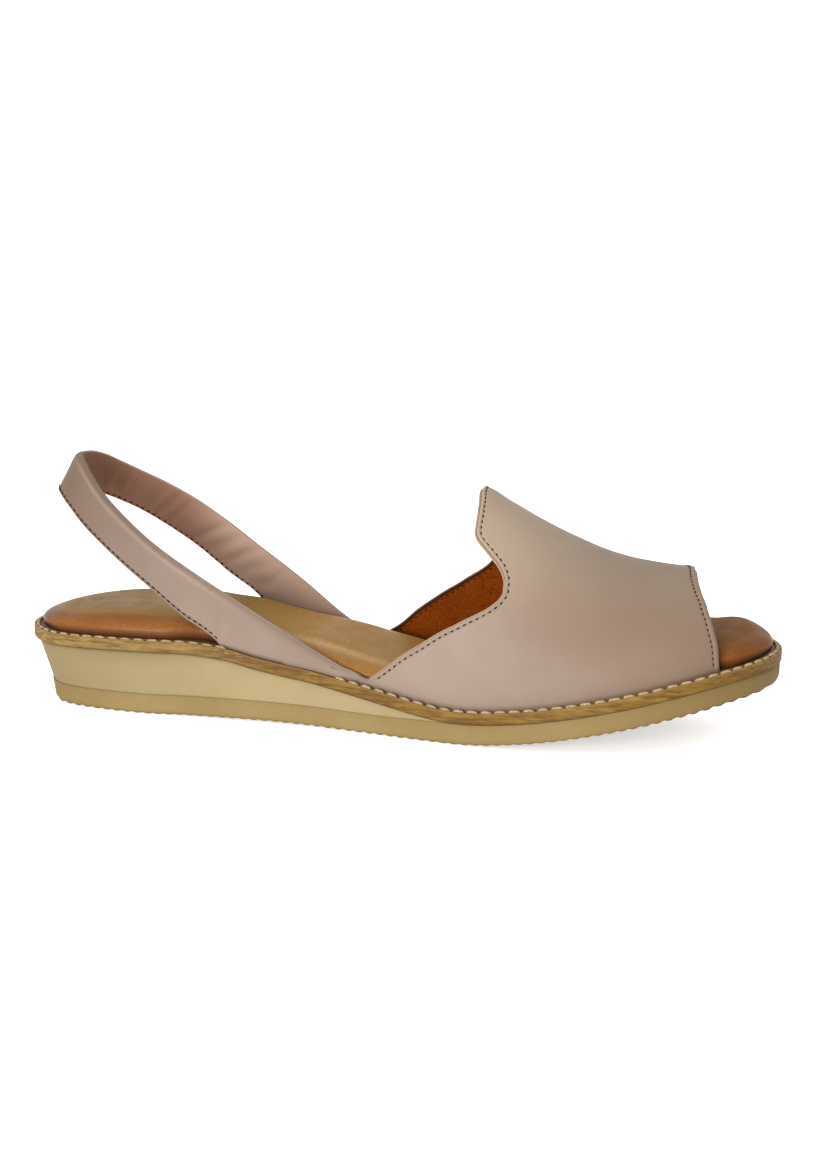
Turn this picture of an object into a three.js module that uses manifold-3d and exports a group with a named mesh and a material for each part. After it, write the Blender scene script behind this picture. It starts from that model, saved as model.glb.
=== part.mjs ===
import * as THREE from "three";
import Module from "manifold-3d";
import { mergeVertices } from "three/addons/utils/BufferGeometryUtils.js";

// A left slingback sandal in millimetres. Heel at x = 0, toe at +x, inner side at -y, floor at z = 0.
// The finished group is centred on its box at the end.

// Driving sizes
const soleLength = 250;
const ballWidth = 85.5;
const toeTipShift = -1.6;
const outsoleThickness = 6.4;
const heelWedgeThickness = 13.3;
const weltThickness = 4.1;
const weltLedge = 3.3;
const insoleCrown = 8.0;
const ballLineSkew = 0.24;
const upperWall = 2.0;
const strapThickness = 2.2;
const instepHeight = 77;
const toeOpeningHeight = 54.6;
const strapOverInstep = 5;
const strapTopHeight = instepHeight + strapOverInstep;
const gap = 0.3;

// Secondary sizes, each tied to one step, rounding or clearance
const soleEdgeRound = 0.8;
const toeEdgeRound = 1.8;
const weltEdgeRound = 0.6;
const weltTopInset = 1.4;
const insoleHeelInset = 3.1;
const insoleClearance = 1.0;
const insoleEdgeRound = 13.0;
const outsoleStep = 0.3;
const strapInset = weltLedge + 0.2;
const strapTail = 1.6;
const edgeBulge = 0.45;
const strapEdgeSoftening = 0.5;
const strapEdgeShares = [0.25, 0.75];
const insoleBaseTuck = 0.3;
const insoleWallShare = 0.28;
const counts = { sole: 60, lid: 3, vampAcross: 48, vampAlong: 20, strap: 64 };

// Plan of the sole, each row at a share of the length: half width as a share of the ball's,
// and how far the middle line leans to the outer side in mm
const plan = [
  { at: 0.00, half: 0.000, lean: -1.4 },
  { at: 0.02, half: 0.380, lean: -1.0 },
  { at: 0.05, half: 0.565, lean: -0.3 },
  { at: 0.10, half: 0.686, lean: 0.6 },
  { at: 0.16, half: 0.730, lean: 0.6 },
  { at: 0.25, half: 0.743, lean: 1.2 },
  { at: 0.35, half: 0.766, lean: 2.2 },
  { at: 0.45, half: 0.819, lean: 2.0 },
  { at: 0.55, half: 0.906, lean: 0.8 },
  { at: 0.65, half: 0.977, lean: 0.2 },
  { at: 0.72, half: 1.000, lean: 0.2 },
  { at: 0.78, half: 0.985, lean: -0.4 },
  { at: 0.85, half: 0.918, lean: -1.2 },
  { at: 0.90, half: 0.820, lean: -1.5 },
  { at: 0.95, half: 0.622, lean: -1.4 },
  { at: 0.98, half: 0.412, lean: toeTipShift },
  { at: 1.00, half: 0.000, lean: toeTipShift },
];

// Side of the sole: height of the underside, and the wedge over the outsole as a share of its heel thickness
const side = [
  { at: 0.000, ground: 0.20, wedge: 0.970 },
  { at: 0.032, ground: 0.00, wedge: 0.970 },
  { at: 0.184, ground: 0.00, wedge: 1.030 },
  { at: 0.236, ground: 0.40, wedge: 1.020 },
  { at: 0.264, ground: 0.50, wedge: 0.990 },
  { at: 0.292, ground: 0.50, wedge: 0.935 },
  { at: 0.332, ground: 0.50, wedge: 0.770 },
  { at: 0.368, ground: 0.50, wedge: 0.660 },
  { at: 0.408, ground: 0.40, wedge: 0.570 },
  { at: 0.436, ground: 0.20, wedge: 0.490 },
  { at: 0.472, ground: 0.00, wedge: 0.375 },
  { at: 0.524, ground: 0.00, wedge: 0.210 },
  { at: 0.560, ground: 0.00, wedge: 0.096 },
  { at: 0.600, ground: 0.00, wedge: 0.015 },
  { at: 0.640, ground: 0.50, wedge: 0.000 },
  { at: 0.684, ground: 1.75, wedge: 0.000 },
  { at: 0.724, ground: 3.30, wedge: 0.000 },
  { at: 0.764, ground: 5.30, wedge: 0.000 },
  { at: 0.804, ground: 7.60, wedge: 0.000 },
  { at: 0.844, ground: 10.10, wedge: 0.000 },
  { at: 0.880, ground: 12.60, wedge: 0.000 },
  { at: 0.920, ground: 15.20, wedge: 0.000 },
  { at: 0.956, ground: 17.30, wedge: 0.000 },
  { at: 1.000, ground: 19.40, wedge: 0.000 },
];

// Share of the length where the wedge runs out on each side
const wedgeInnerEnd = 0.574;
const wedgeOuterEnd = 0.532;

// How far the bottom of the wedge is tucked in under the welt, and how much further the underside is
const tucks = [
  { at: 0.000, tuck: 7.1, more: 2.4 },
  { at: 0.015, tuck: 6.2, more: 1.7 },
  { at: 0.030, tuck: 5.2, more: 0.9 },
  { at: 0.060, tuck: 3.7, more: 0.3 },
  { at: 0.100, tuck: 2.7, more: 0.1 },
  { at: 0.200, tuck: 2.0, more: 0.0 },
  { at: 0.500, tuck: 1.4, more: 0.0 },
  { at: 0.700, tuck: 0.9, more: 0.0 },
  { at: 1.000, tuck: 0.8, more: 0.0 },
];

// Crown of the padded insole over the welt along the foot, as a share of its greatest height
const crowns = [
  { at: 0.00, crown: 0.62 },
  { at: 0.06, crown: 0.82 },
  { at: 0.15, crown: 0.95 },
  { at: 0.25, crown: 0.95 },
  { at: 0.45, crown: 0.84 },
  { at: 0.60, crown: 0.80 },
  { at: 0.80, crown: 0.88 },
  { at: 0.92, crown: 0.97 },
  { at: 1.00, crown: 0.70 },
];

// Height of the last over the floor along its ridge: the instep, and the fall to the toe opening (share 1)
const ridge = [
  { at: 0.44, over: 15.0, fall: 0.00 },
  { at: 0.52, over: 8.0, fall: 0.00 },
  { at: 0.60, over: 0.0, fall: 0.00 },
  { at: 0.64, over: 0.0, fall: 0.21 },
  { at: 0.68, over: 0.0, fall: 0.445 },
  { at: 0.724, over: 0.0, fall: 0.665 },
  { at: 0.768, over: 0.0, fall: 0.844 },
  { at: 0.808, over: 0.0, fall: 0.946 },
  { at: 0.852, over: 0.0, fall: 0.99 },
  { at: 0.90, over: 0.0, fall: 1.00 },
  { at: 0.96, over: 0.0, fall: 1.02 },
];

// The two cut edges of the vamp round the foot. Angles run from the inner welt (0) over the ridge (90)
// to the outer welt (180).
const vampEdges = [
  { angle: 0.0, rear: 0.4800, front: 0.9330 },
  { angle: 5.2, rear: 0.5070, front: 0.9320 },
  { angle: 10.1, rear: 0.5300, front: 0.9310 },
  { angle: 14.4, rear: 0.5520, front: 0.9300 },
  { angle: 20.5, rear: 0.5820, front: 0.9275 },
  { angle: 24.8, rear: 0.6095, front: 0.9250 },
  { angle: 29.8, rear: 0.6340, front: 0.9220 },
  { angle: 33.0, rear: 0.6460, front: 0.9200 },
  { angle: 36.1, rear: 0.6545, front: 0.9180 },
  { angle: 39.2, rear: 0.6585, front: 0.9155 },
  { angle: 42.7, rear: 0.6585, front: 0.9130 },
  { angle: 46.1, rear: 0.6545, front: 0.9105 },
  { angle: 48.6, rear: 0.6480, front: 0.9090 },
  { angle: 50.3, rear: 0.6405, front: 0.9075 },
  { angle: 52.2, rear: 0.6310, front: 0.9060 },
  { angle: 54.0, rear: 0.6210, front: 0.9045 },
  { angle: 55.6, rear: 0.6155, front: 0.9030 },
  { angle: 58.0, rear: 0.6135, front: 0.9010 },
  { angle: 64.6, rear: 0.6130, front: 0.8965 },
  { angle: 74.0, rear: 0.6110, front: 0.8910 },
  { angle: 86.5, rear: 0.6060, front: 0.8860 },
  { angle: 96.0, rear: 0.6040, front: 0.8820 },
  { angle: 105.0, rear: 0.5990, front: 0.8750 },
  { angle: 113.0, rear: 0.5945, front: 0.8690 },
  { angle: 121.0, rear: 0.5940, front: 0.8650 },
  { angle: 128.0, rear: 0.6030, front: 0.8630 },
  { angle: 134.0, rear: 0.6090, front: 0.8620 },
  { angle: 139.0, rear: 0.6100, front: 0.8615 },
  { angle: 146.7, rear: 0.5980, front: 0.8615 },
  { angle: 155.2, rear: 0.5610, front: 0.8630 },
  { angle: 162.0, rear: 0.5280, front: 0.8645 },
  { angle: 169.5, rear: 0.4930, front: 0.8670 },
  { angle: 174.9, rear: 0.4700, front: 0.8690 },
  { angle: 180.0, rear: 0.4400, front: 0.8700 },
];

// The heel strap from its rear middle to its ends at the welt: heights of its two edges as shares of the
// strap's top height, and how far each edge stands in from the rim of the welt
const strapRows = [
  { at: 0.000, innerLow: 0.840, innerTop: 0.998, outerLow: 0.840, outerTop: 0.998, lowIn: 7.8, topIn: 14.2 },
  { at: 0.012, innerLow: 0.845, innerTop: 1.008, outerLow: 0.826, outerTop: 0.992, lowIn: 7.6, topIn: 14.0 },
  { at: 0.027, innerLow: 0.833, innerTop: 1.007, outerLow: 0.809, outerTop: 0.980, lowIn: 7.3, topIn: 13.6 },
  { at: 0.048, innerLow: 0.803, innerTop: 0.984, outerLow: 0.790, outerTop: 0.960, lowIn: 6.9, topIn: 12.9 },
  { at: 0.074, innerLow: 0.746, innerTop: 0.928, outerLow: 0.760, outerTop: 0.932, lowIn: 6.5, topIn: 12.0 },
  { at: 0.106, innerLow: 0.676, innerTop: 0.850, outerLow: 0.720, outerTop: 0.896, lowIn: 6.1, topIn: 11.0 },
  { at: 0.144, innerLow: 0.593, innerTop: 0.764, outerLow: 0.660, outerTop: 0.850, lowIn: 5.7, topIn: 10.0 },
  { at: 0.185, innerLow: 0.504, innerTop: 0.675, outerLow: 0.583, outerTop: 0.788, lowIn: 5.2, topIn: 9.1 },
  { at: 0.231, innerLow: 0.401, innerTop: 0.590, outerLow: 0.472, outerTop: 0.697, lowIn: 4.4, topIn: 8.3 },
  { at: 0.280, innerLow: 0.312, innerTop: 0.507, outerLow: 0.350, outerTop: 0.585, lowIn: 2.6, topIn: 7.4 },
  { at: 0.332, innerLow: 0.000, innerTop: 0.420, outerLow: 0.000, outerTop: 0.466, lowIn: 2.2, topIn: 6.4 },
  { at: 0.386, innerLow: 0.000, innerTop: 0.336, outerLow: 0.000, outerTop: 0.330, lowIn: 2.2, topIn: 5.3 },
  { at: 0.442, innerLow: 0.000, innerTop: 0.258, outerLow: 0.000, outerTop: 0.190, lowIn: 2.4, topIn: 4.0 },
  { at: 0.470, innerLow: 0.000, innerTop: 0.222, outerLow: 0.000, outerTop: 0.000, lowIn: 3.5, topIn: 3.5 },
  { at: 0.520, innerLow: 0.000, innerTop: 0.000, outerLow: 0.000, outerTop: 0.000, lowIn: 3.5, topIn: 3.5 },
];
const strapInnerEnd = 0.505;
const strapOuterEnd = 0.480;

// Colours from the photo, as sRGB values
const finishes = {
  outsole: { colour: 0xa58c66, roughness: 0.8, metalness: 0 },
  wedge: { colour: 0xc3af82, roughness: 0.8, metalness: 0 },
  welt: { colour: 0x9a7c48, roughness: 0.6, metalness: 0 },
  insole: { colour: 0xa5845c, roughness: 0.35, metalness: 0 },
  upper: { colour: 0xbca593, roughness: 0.6, metalness: 0 },
};

// Monotone cubic through the rows of a table, column against column
function curveOf(rows, from, to) {
  const xs = rows.map((row) => row[from]);
  const ys = rows.map((row) => row[to]);
  const last = xs.length - 1;
  const slopes = [];
  for (let i = 0; i < last; i++) slopes.push((ys[i + 1] - ys[i]) / (xs[i + 1] - xs[i]));
  const tangents = ys.map((_, i) => {
    if (i === 0) return slopes[0];
    if (i === last) return slopes[last - 1];
    const before = slopes[i - 1];
    const after = slopes[i];
    return before * after <= 0 ? 0 : (2 * before * after) / (before + after);
  });
  return (value) => {
    const x = Math.min(Math.max(value, xs[0]), xs[last]);
    let i = 0;
    while (i < last - 1 && x > xs[i + 1]) i++;
    const step = xs[i + 1] - xs[i];
    const t = (x - xs[i]) / step;
    const t2 = t * t;
    const t3 = t2 * t;
    return (
      ys[i] * (2 * t3 - 3 * t2 + 1) +
      tangents[i] * step * (t3 - 2 * t2 + t) +
      ys[i + 1] * (3 * t2 - 2 * t3) +
      tangents[i + 1] * step * (t3 - t2)
    );
  };
}

const smooth = (value) => {
  const t = Math.min(Math.max(value, 0), 1);
  return t * t * (3 - 2 * t);
};
const mix = (a, b, t) => a + (b - a) * t;
const radians = Math.PI / 180;

// Heights along the sole, all as functions of x
const squaredHalf = curveOf(plan.map((row) => ({ at: row.at, half: row.half ** 2 })), "at", "half");
const middleLean = curveOf(plan, "at", "lean");
const groundCurve = curveOf(side, "at", "ground");
const wedgeCurve = curveOf(side, "at", "wedge");
const tuckCurve = curveOf(tucks, "at", "tuck");
const moreCurve = curveOf(tucks, "at", "more");
const crownCurve = curveOf(crowns, "at", "crown");
const share = (x) => x / soleLength;
const halfWidth = (x) => (ballWidth / 2) * Math.sqrt(Math.max(squaredHalf(share(x)), 0));
const middle = (x) => middleLean(share(x));

// Shares of the length where the skew of the ball line sets in, where the insole draws in beside the strap,
// where it widens again before the vamp's front edge, and where the toe's sole edge grows rounder
const skewFrom = 0.42;
const skewTo = 0.62;
const insoleDrawFrom = 0.205;
const insoleDrawTo = 0.26;
const insoleWidenFrom = 0.935;
const insoleWidenTo = 0.965;
const toeRoundFrom = 0.9;
const ramp = (x, from, to) => smooth((share(x) - from) / (to - from));

// The ball line runs askew, so past it the outer side has risen further than the inner side
function heightBy(curve) {
  return (x, y) => {
    const half = halfWidth(x);
    const ahead = 2 * half * ballLineSkew * ramp(x, skewFrom, skewTo);
    const across = half > 1 ? Math.min(Math.max((y - middle(x) + half) / (2 * half), 0), 1) : 0.5;
    return mix(curve(share(x)), curve(share(x + ahead)), across);
  };
}
const underside = heightBy(groundCurve);
const wedgeShare = heightBy(wedgeCurve);
const outsoleTop = (x, y) => underside(x, y) + outsoleThickness;
const weltBottom = (x, y) => outsoleTop(x, y) + gap + wedgeShare(x, y) * (heelWedgeThickness + gap);
const weltTop = (x, y) => weltBottom(x, y) + weltThickness;
const wedgeTuck = (x) => tuckCurve(share(x));
const crown = (x) => insoleCrown * crownCurve(share(x));

// The rim of the welt: angle 0 at the heel, half a turn at the toe, inner side first
function rim(angle) {
  const x = (soleLength * (1 - Math.cos(angle))) / 2;
  const hand = Math.sin(angle) >= 0 ? -1 : 1;
  return [x, middle(x) + hand * halfWidth(x)];
}

// A point of the rim moved in by a distance square to the chord that reaches a little to either side of it.
// The strap stands far in, so it goes by a longer chord that smooths the rim's small changes of direction.
const rimReach = 0.004;
const strapReach = 0.2;
function rimInset(angle, inset, reach = rimReach) {
  const [x, y] = rim(angle);
  const before = rim(angle - reach);
  const after = rim(angle + reach);
  const dx = after[0] - before[0];
  const dy = after[1] - before[1];
  const run = Math.hypot(dx, dy);
  return [x - (dy / run) * inset, y + (dx / run) * inset];
}

const angleAt = (part) => Math.acos(1 - 2 * part);

// The y of one side of the rim, moved in, where it crosses x
function sideAt(x, hand, inset) {
  let low = 0;
  let high = Math.PI;
  for (let i = 0; i < 40; i++) {
    const middle = (low + high) / 2;
    const point = rimInset(hand < 0 ? middle : 2 * Math.PI - middle, inset);
    if (point[0] < x) low = middle;
    else high = middle;
  }
  return rimInset(hand < 0 ? low : 2 * Math.PI - low, inset)[1];
}

function geometryOf(points, faces) {
  const geometry = new THREE.BufferGeometry();
  geometry.setAttribute("position", new THREE.Float32BufferAttribute(points.flat(), 3));
  geometry.setIndex(faces.flat());
  return geometry;
}

// A body of stacked closed rings, every ring listed inner side first and then back along the outer side.
// Its two lids follow the given heights from the inner to the outer side.
function stackOf(rings, lowHeight, topHeight) {
  const count = rings[0].length;
  const points = rings.flat();
  const faces = [];
  for (let level = 0; level < rings.length - 1; level++) {
    for (let i = 0; i < count; i++) {
      const next = (i + 1) % count;
      const a = level * count + i;
      const b = level * count + next;
      faces.push([a, b, b + count], [a, b + count, a + count]);
    }
  }
  const rowOf = (offset, i, heightAt) => {
    const near = i;
    const far = (count - i) % count;
    if (near === far) return [offset + near];
    if (far - near === 1) return [offset + near, offset + far];
    const row = [offset + near];
    const [from, to] = [points[offset + near], points[offset + far]];
    for (let k = 1; k < counts.lid; k++) {
      const x = mix(from[0], to[0], k / counts.lid);
      const y = mix(from[1], to[1], k / counts.lid);
      row.push(points.length);
      points.push([x, y, heightAt(x, y)]);
    }
    row.push(offset + far);
    return row;
  };
  const lid = (offset, up, heightAt) => {
    const add = (a, b, c) => faces.push(up ? [a, b, c] : [c, b, a]);
    let here = rowOf(offset, 0, heightAt);
    for (let i = 1; i <= count / 2; i++) {
      const next = rowOf(offset, i, heightAt);
      let a = 0;
      let b = 0;
      while (a < here.length - 1 || b < next.length - 1) {
        const ahead = (b + 1) * (here.length - 1) <= (a + 1) * (next.length - 1);
        const stepNext = b < next.length - 1 && (a === here.length - 1 || ahead);
        add(here[a], next[b], stepNext ? next[b + 1] : here[a + 1]);
        if (stepNext) b++;
        else a++;
      }
      here = next;
    }
  };
  lid(0, false, lowHeight);
  lid((rings.length - 1) * count, true, topHeight);
  return geometryOf(points, faces);
}

// Angles of a whole rim, or of the rim from the heel to one share of the length on each side
function rimAngles(innerEnd, outerEnd) {
  const whole = innerEnd >= 1;
  const inner = angleAt(innerEnd);
  const outer = angleAt(outerEnd);
  const steps = Math.round((counts.sole * inner) / Math.PI);
  const angles = [];
  for (let i = 0; i <= steps; i++) angles.push((i * inner) / steps);
  for (let i = whole ? steps - 1 : steps; i > 0; i--) angles.push(2 * Math.PI - (i * outer) / steps);
  return angles;
}

function ringOf(angles, insetAt, heightAt) {
  return angles.map((angle) => {
    const station = rim(angle)[0];
    const [x, y] = rimInset(angle, insetAt(station));
    return [x, y, heightAt(x, y)];
  });
}

// Sections of the sole's edge from the underside up: inset and rise as shares of the edge's rounding,
// and how much of the underside's extra tuck is left there
const soleEdge = [
  { inset: 1.6, rise: 0.0, more: 1 },
  { inset: 0.5, rise: 0.35, more: 1 },
  { inset: 0.0, rise: 1.6, more: 0.75 },
];

function outsole() {
  const angles = rimAngles(1, 1);
  const inset = (x) => wedgeTuck(x) - outsoleStep;
  const round = (x) => mix(soleEdgeRound, toeEdgeRound, ramp(x, toeRoundFrom, 1));
  const rings = soleEdge.map((row) => {
    const insetAt = (x) => inset(x) + row.inset * round(x) + row.more * moreCurve(share(x));
    return ringOf(angles, insetAt, (x, y) => underside(x, y) + row.rise * round(x));
  });
  return stackOf([...rings, ringOf(angles, inset, outsoleTop)], underside, outsoleTop);
}

function wedge() {
  const angles = rimAngles(wedgeInnerEnd, wedgeOuterEnd);
  const level = (part) => (x, y) => mix(outsoleTop(x, y) + gap, weltBottom(x, y) - gap, part);
  const inset = (part) => (x) => mix(wedgeTuck(x), Math.min(weltTopInset, wedgeTuck(x)), part);
  const rings = [0, 0.5, 1].map((part) => ringOf(angles, inset(part), level(part)));
  return stackOf(rings, level(0), level(1));
}

function welt() {
  const angles = rimAngles(1, 1);
  return stackOf([
    ringOf(angles, () => weltEdgeRound, weltBottom),
    ringOf(angles, () => 0, (x, y) => weltBottom(x, y) + weltEdgeRound),
    ringOf(angles, () => 0, (x, y) => weltTop(x, y) - weltEdgeRound),
    ringOf(angles, () => weltEdgeRound, weltTop),
  ], weltBottom, weltTop);
}

// The insole steps in where the upper stands on the welt
function insoleInset(x) {
  const beside = strapInset + strapThickness + insoleClearance;
  const drawn = ramp(x, insoleDrawFrom, insoleDrawTo) - ramp(x, insoleWidenFrom, insoleWidenTo);
  return mix(insoleHeelInset, beside, drawn);
}

function insole() {
  const angles = rimAngles(1, 1);
  const base = (x, y) => weltTop(x, y) + gap;
  const rings = [ringOf(angles, (x) => insoleInset(x) + insoleBaseTuck, base)];
  const turns = 6;
  for (let i = 0; i <= turns; i++) {
    const turn = (i / turns) * 90 * radians;
    const inward = insoleEdgeRound * (1 - Math.cos(turn));
    const rise = mix(insoleWallShare, 1, Math.sin(turn));
    rings.push(ringOf(angles, (x) => insoleInset(x) + inward, (x, y) => base(x, y) + rise * crown(x)));
  }
  return stackOf(rings, base, (x, y) => base(x, y) + crown(x));
}

const ridgeOver = curveOf(ridge, "at", "over");
const ridgeFall = curveOf(ridge, "at", "fall");
const ridgeHeight = (x) => {
  const level = mix(instepHeight, toeOpeningHeight, ridgeFall(share(x)));
  return level + ridgeOver(share(x));
};
const rearEdge = curveOf(vampEdges, "angle", "rear");
const frontEdge = curveOf(vampEdges, "angle", "front");

// The outer face of the vamp: half an ellipse over the foot at each station, standing on the welt
function vampPoint(angle, along) {
  const x = soleLength * mix(rearEdge(angle), frontEdge(angle), along);
  const inner = sideAt(x, -1, weltLedge);
  const outer = sideAt(x, 1, weltLedge);
  const turn = angle * radians;
  const y = (inner + outer) / 2 - ((outer - inner) / 2) * Math.cos(turn);
  const low = weltTop(x, y) + gap;
  return new THREE.Vector3(x, y, low + (ridgeHeight(x) - low) * Math.sin(turn));
}

function vampNormal(angle, along) {
  const turn = Math.min(Math.max(angle, 0.5), 179.5);
  const row = Math.min(Math.max(along, 0.01), 0.99);
  const across = vampPoint(turn + 0.5, row).sub(vampPoint(turn - 0.5, row));
  const lengthways = vampPoint(turn, row + 0.01).sub(vampPoint(turn, row - 0.01));
  return lengthways.cross(across).normalize();
}

function vamp() {
  const points = [];
  const faces = [];
  const columns = counts.vampAcross + 1;
  const layers = [];
  const addRow = (along, depth, push) => {
    const row = [];
    for (let i = 0; i < columns; i++) {
      const angle = (180 * i) / counts.vampAcross;
      const point = vampPoint(angle, along);
      const normal = vampNormal(angle, along);
      if (i === 0 || i === counts.vampAcross) normal.z = 0;
      const at = point.clone().addScaledVector(normal.normalize(), -depth);
      at.x += push;
      at.z = Math.max(at.z, weltTop(at.x, at.y) + gap);
      if (i === 0 || i === counts.vampAcross) at.z = weltTop(at.x, at.y) + gap;
      row.push(points.length);
      points.push(at.toArray());
    }
    layers.push(row);
  };
  for (let j = 0; j <= counts.vampAlong; j++) addRow(j / counts.vampAlong, 0, 0);
  addRow(1, upperWall / 2, edgeBulge);
  for (let j = counts.vampAlong; j >= 0; j--) addRow(j / counts.vampAlong, upperWall, 0);
  addRow(0, upperWall / 2, -edgeBulge);
  const count = layers.length;
  for (let j = 0; j < count; j++) {
    const here = layers[j];
    const next = layers[(j + 1) % count];
    for (let i = 0; i < counts.vampAcross; i++) {
      faces.push([here[i], next[i + 1], next[i]], [here[i], here[i + 1], next[i + 1]]);
    }
  }
  const foot = (column, flip) => {
    const loop = layers.map((row) => row[column]);
    for (let j = 0; j < counts.vampAlong; j++) {
      const a = loop[j];
      const b = loop[j + 1];
      const c = loop[count - 2 - (j + 1)];
      const d = loop[count - 2 - j];
      faces.push(flip ? [a, c, b] : [a, b, c], flip ? [a, d, c] : [a, c, d]);
    }
    const frontTip = loop[counts.vampAlong + 1];
    const rearTip = loop[count - 1];
    const front = [loop[counts.vampAlong], frontTip, loop[counts.vampAlong + 2]];
    const rear = [loop[0], loop[count - 2], rearTip];
    faces.push(flip ? [front[0], front[2], front[1]] : front, flip ? [rear[0], rear[2], rear[1]] : rear);
  };
  foot(0, false);
  foot(counts.vampAcross, true);
  return geometryOf(points, faces);
}

const strapColumn = (name) => curveOf(strapRows, "at", name);
const strapCurves = Object.fromEntries(
  ["innerLow", "innerTop", "outerLow", "outerTop", "lowIn", "topIn"].map((name) => [name, strapColumn(name)]),
);

// The strap runs round the heel as a leaning band, and its two tails stand on the welt inside the vamp
function strap() {
  const innerEnd = angleAt(strapInnerEnd);
  const outerEnd = -angleAt(strapOuterEnd);
  const points = [];
  const faces = [];
  const corners = 6;
  for (let i = 0; i <= counts.strap; i++) {
    const angle = mix(innerEnd, outerEnd, i / counts.strap);
    const at = share(rim(Math.abs(angle))[0]);
    const side = angle >= 0 ? "inner" : "outer";
    const turn = angle >= 0 ? angle : 2 * Math.PI + angle;
    const low = rimInset(turn, strapCurves.lowIn(at), strapReach);
    const top = rimInset(turn, strapCurves.topIn(at), strapReach);
    const floor = weltTop(low[0], low[1]) + gap;
    const lowZ = Math.max(strapCurves[`${side}Low`](at) * strapTopHeight, floor);
    const topZ = Math.max(strapCurves[`${side}Top`](at) * strapTopHeight, floor + strapTail);
    const a = new THREE.Vector3(low[0], low[1], lowZ);
    const b = new THREE.Vector3(top[0], top[1], topZ);
    const up = b.clone().sub(a);
    const inside = rimInset(turn, 1, strapReach);
    const inward = new THREE.Vector3(...inside, 0).sub(new THREE.Vector3(...rim(turn), 0));
    const thick = inward.clone().addScaledVector(up, -inward.dot(up) / up.lengthSq()).normalize();
    const soft = Math.min(strapEdgeSoftening, up.length() / 8);
    const rise = up.clone().normalize();
    const grounded = lowZ - floor < 0.01;
    const flatThick = grounded ? inward.clone().normalize() : thick;
    const ring = [
      a.clone(),
      b.clone().addScaledVector(rise, -soft),
      ...strapEdgeShares.map((part) => b.clone().addScaledVector(thick, strapThickness * part)),
      b.clone().addScaledVector(thick, strapThickness).addScaledVector(rise, -soft),
      a.clone().addScaledVector(flatThick, strapThickness),
    ];
    ring.forEach((point) => {
      point.z = Math.max(point.z, weltTop(point.x, point.y) + gap);
      points.push(point.toArray());
    });
  }
  for (let i = 0; i < counts.strap; i++) {
    for (let j = 0; j < corners; j++) {
      const a = i * corners + j;
      const b = i * corners + ((j + 1) % corners);
      faces.push([a, b, b + corners], [a, b + corners, a + corners]);
    }
  }
  const end = counts.strap * corners;
  for (let j = 1; j < corners - 1; j++) {
    faces.push([0, j + 1, j], [end, end + j, end + j + 1]);
  }
  return geometryOf(points, faces);
}

const wasm = await Module();
wasm.setup();

function manifoldOf(geometry) {
  const vertices = new Float32Array(geometry.getAttribute("position").array);
  const make = (index) =>
    new wasm.Manifold(
      new wasm.Mesh({ numProp: 3, vertProperties: vertices, triVerts: new Uint32Array(index) }),
    );
  const index = Array.from(geometry.index.array);
  const body = make(index);
  if (body.volume() > 0) return body;
  const turned = [];
  for (let i = 0; i < index.length; i += 3) turned.push(index[i], index[i + 2], index[i + 1]);
  return make(turned);
}

function geometryFrom(body) {
  const mesh = body.getMesh();
  const geometry = new THREE.BufferGeometry();
  geometry.setAttribute("position", new THREE.Float32BufferAttribute(mesh.vertProperties, 3));
  geometry.setIndex(Array.from(mesh.triVerts));
  return mergeVertices(geometry);
}

const bodies = {
  outsole: manifoldOf(outsole()),
  wedge: manifoldOf(wedge()),
  welt: manifoldOf(welt()),
  insole: manifoldOf(insole()),
  upper: manifoldOf(vamp()).add(manifoldOf(strap())),
};

const sandal = new THREE.Group();
sandal.name = "sandal";
for (const [name, body] of Object.entries(bodies)) {
  const finish = finishes[name];
  const material = new THREE.MeshStandardMaterial({
    color: new THREE.Color(finish.colour),
    roughness: finish.roughness,
    metalness: finish.metalness,
  });
  const mesh = new THREE.Mesh(geometryFrom(body), material);
  mesh.name = name;
  sandal.add(mesh);
}
const box = new THREE.Box3().setFromObject(sandal);
const centre = box.getCenter(new THREE.Vector3());
sandal.position.set(-centre.x, -centre.y, -box.min.z);
sandal.updateMatrixWorld(true);

export default sandal;
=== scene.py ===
import math

import bmesh
import bpy
import numpy as np
from mathutils import Matrix, Vector


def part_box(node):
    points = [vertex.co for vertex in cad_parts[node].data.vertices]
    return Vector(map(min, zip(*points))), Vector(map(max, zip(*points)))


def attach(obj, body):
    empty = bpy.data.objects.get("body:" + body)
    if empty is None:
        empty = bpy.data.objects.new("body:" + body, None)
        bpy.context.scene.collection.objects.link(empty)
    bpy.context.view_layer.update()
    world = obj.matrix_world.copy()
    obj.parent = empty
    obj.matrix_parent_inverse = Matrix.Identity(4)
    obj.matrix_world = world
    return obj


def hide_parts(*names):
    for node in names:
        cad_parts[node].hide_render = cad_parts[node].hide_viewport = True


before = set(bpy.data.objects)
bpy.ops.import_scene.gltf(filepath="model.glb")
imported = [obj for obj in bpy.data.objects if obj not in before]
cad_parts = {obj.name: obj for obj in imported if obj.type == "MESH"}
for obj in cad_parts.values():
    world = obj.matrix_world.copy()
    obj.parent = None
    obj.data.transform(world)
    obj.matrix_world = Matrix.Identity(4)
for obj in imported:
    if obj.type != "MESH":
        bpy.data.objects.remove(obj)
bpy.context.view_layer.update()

# The sandal is worked out in millimetres: heel at x = 0, toe at +x, inner side at -y, floor at z = 0.
# The sizes and tables below are those of the part's solids.

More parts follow.
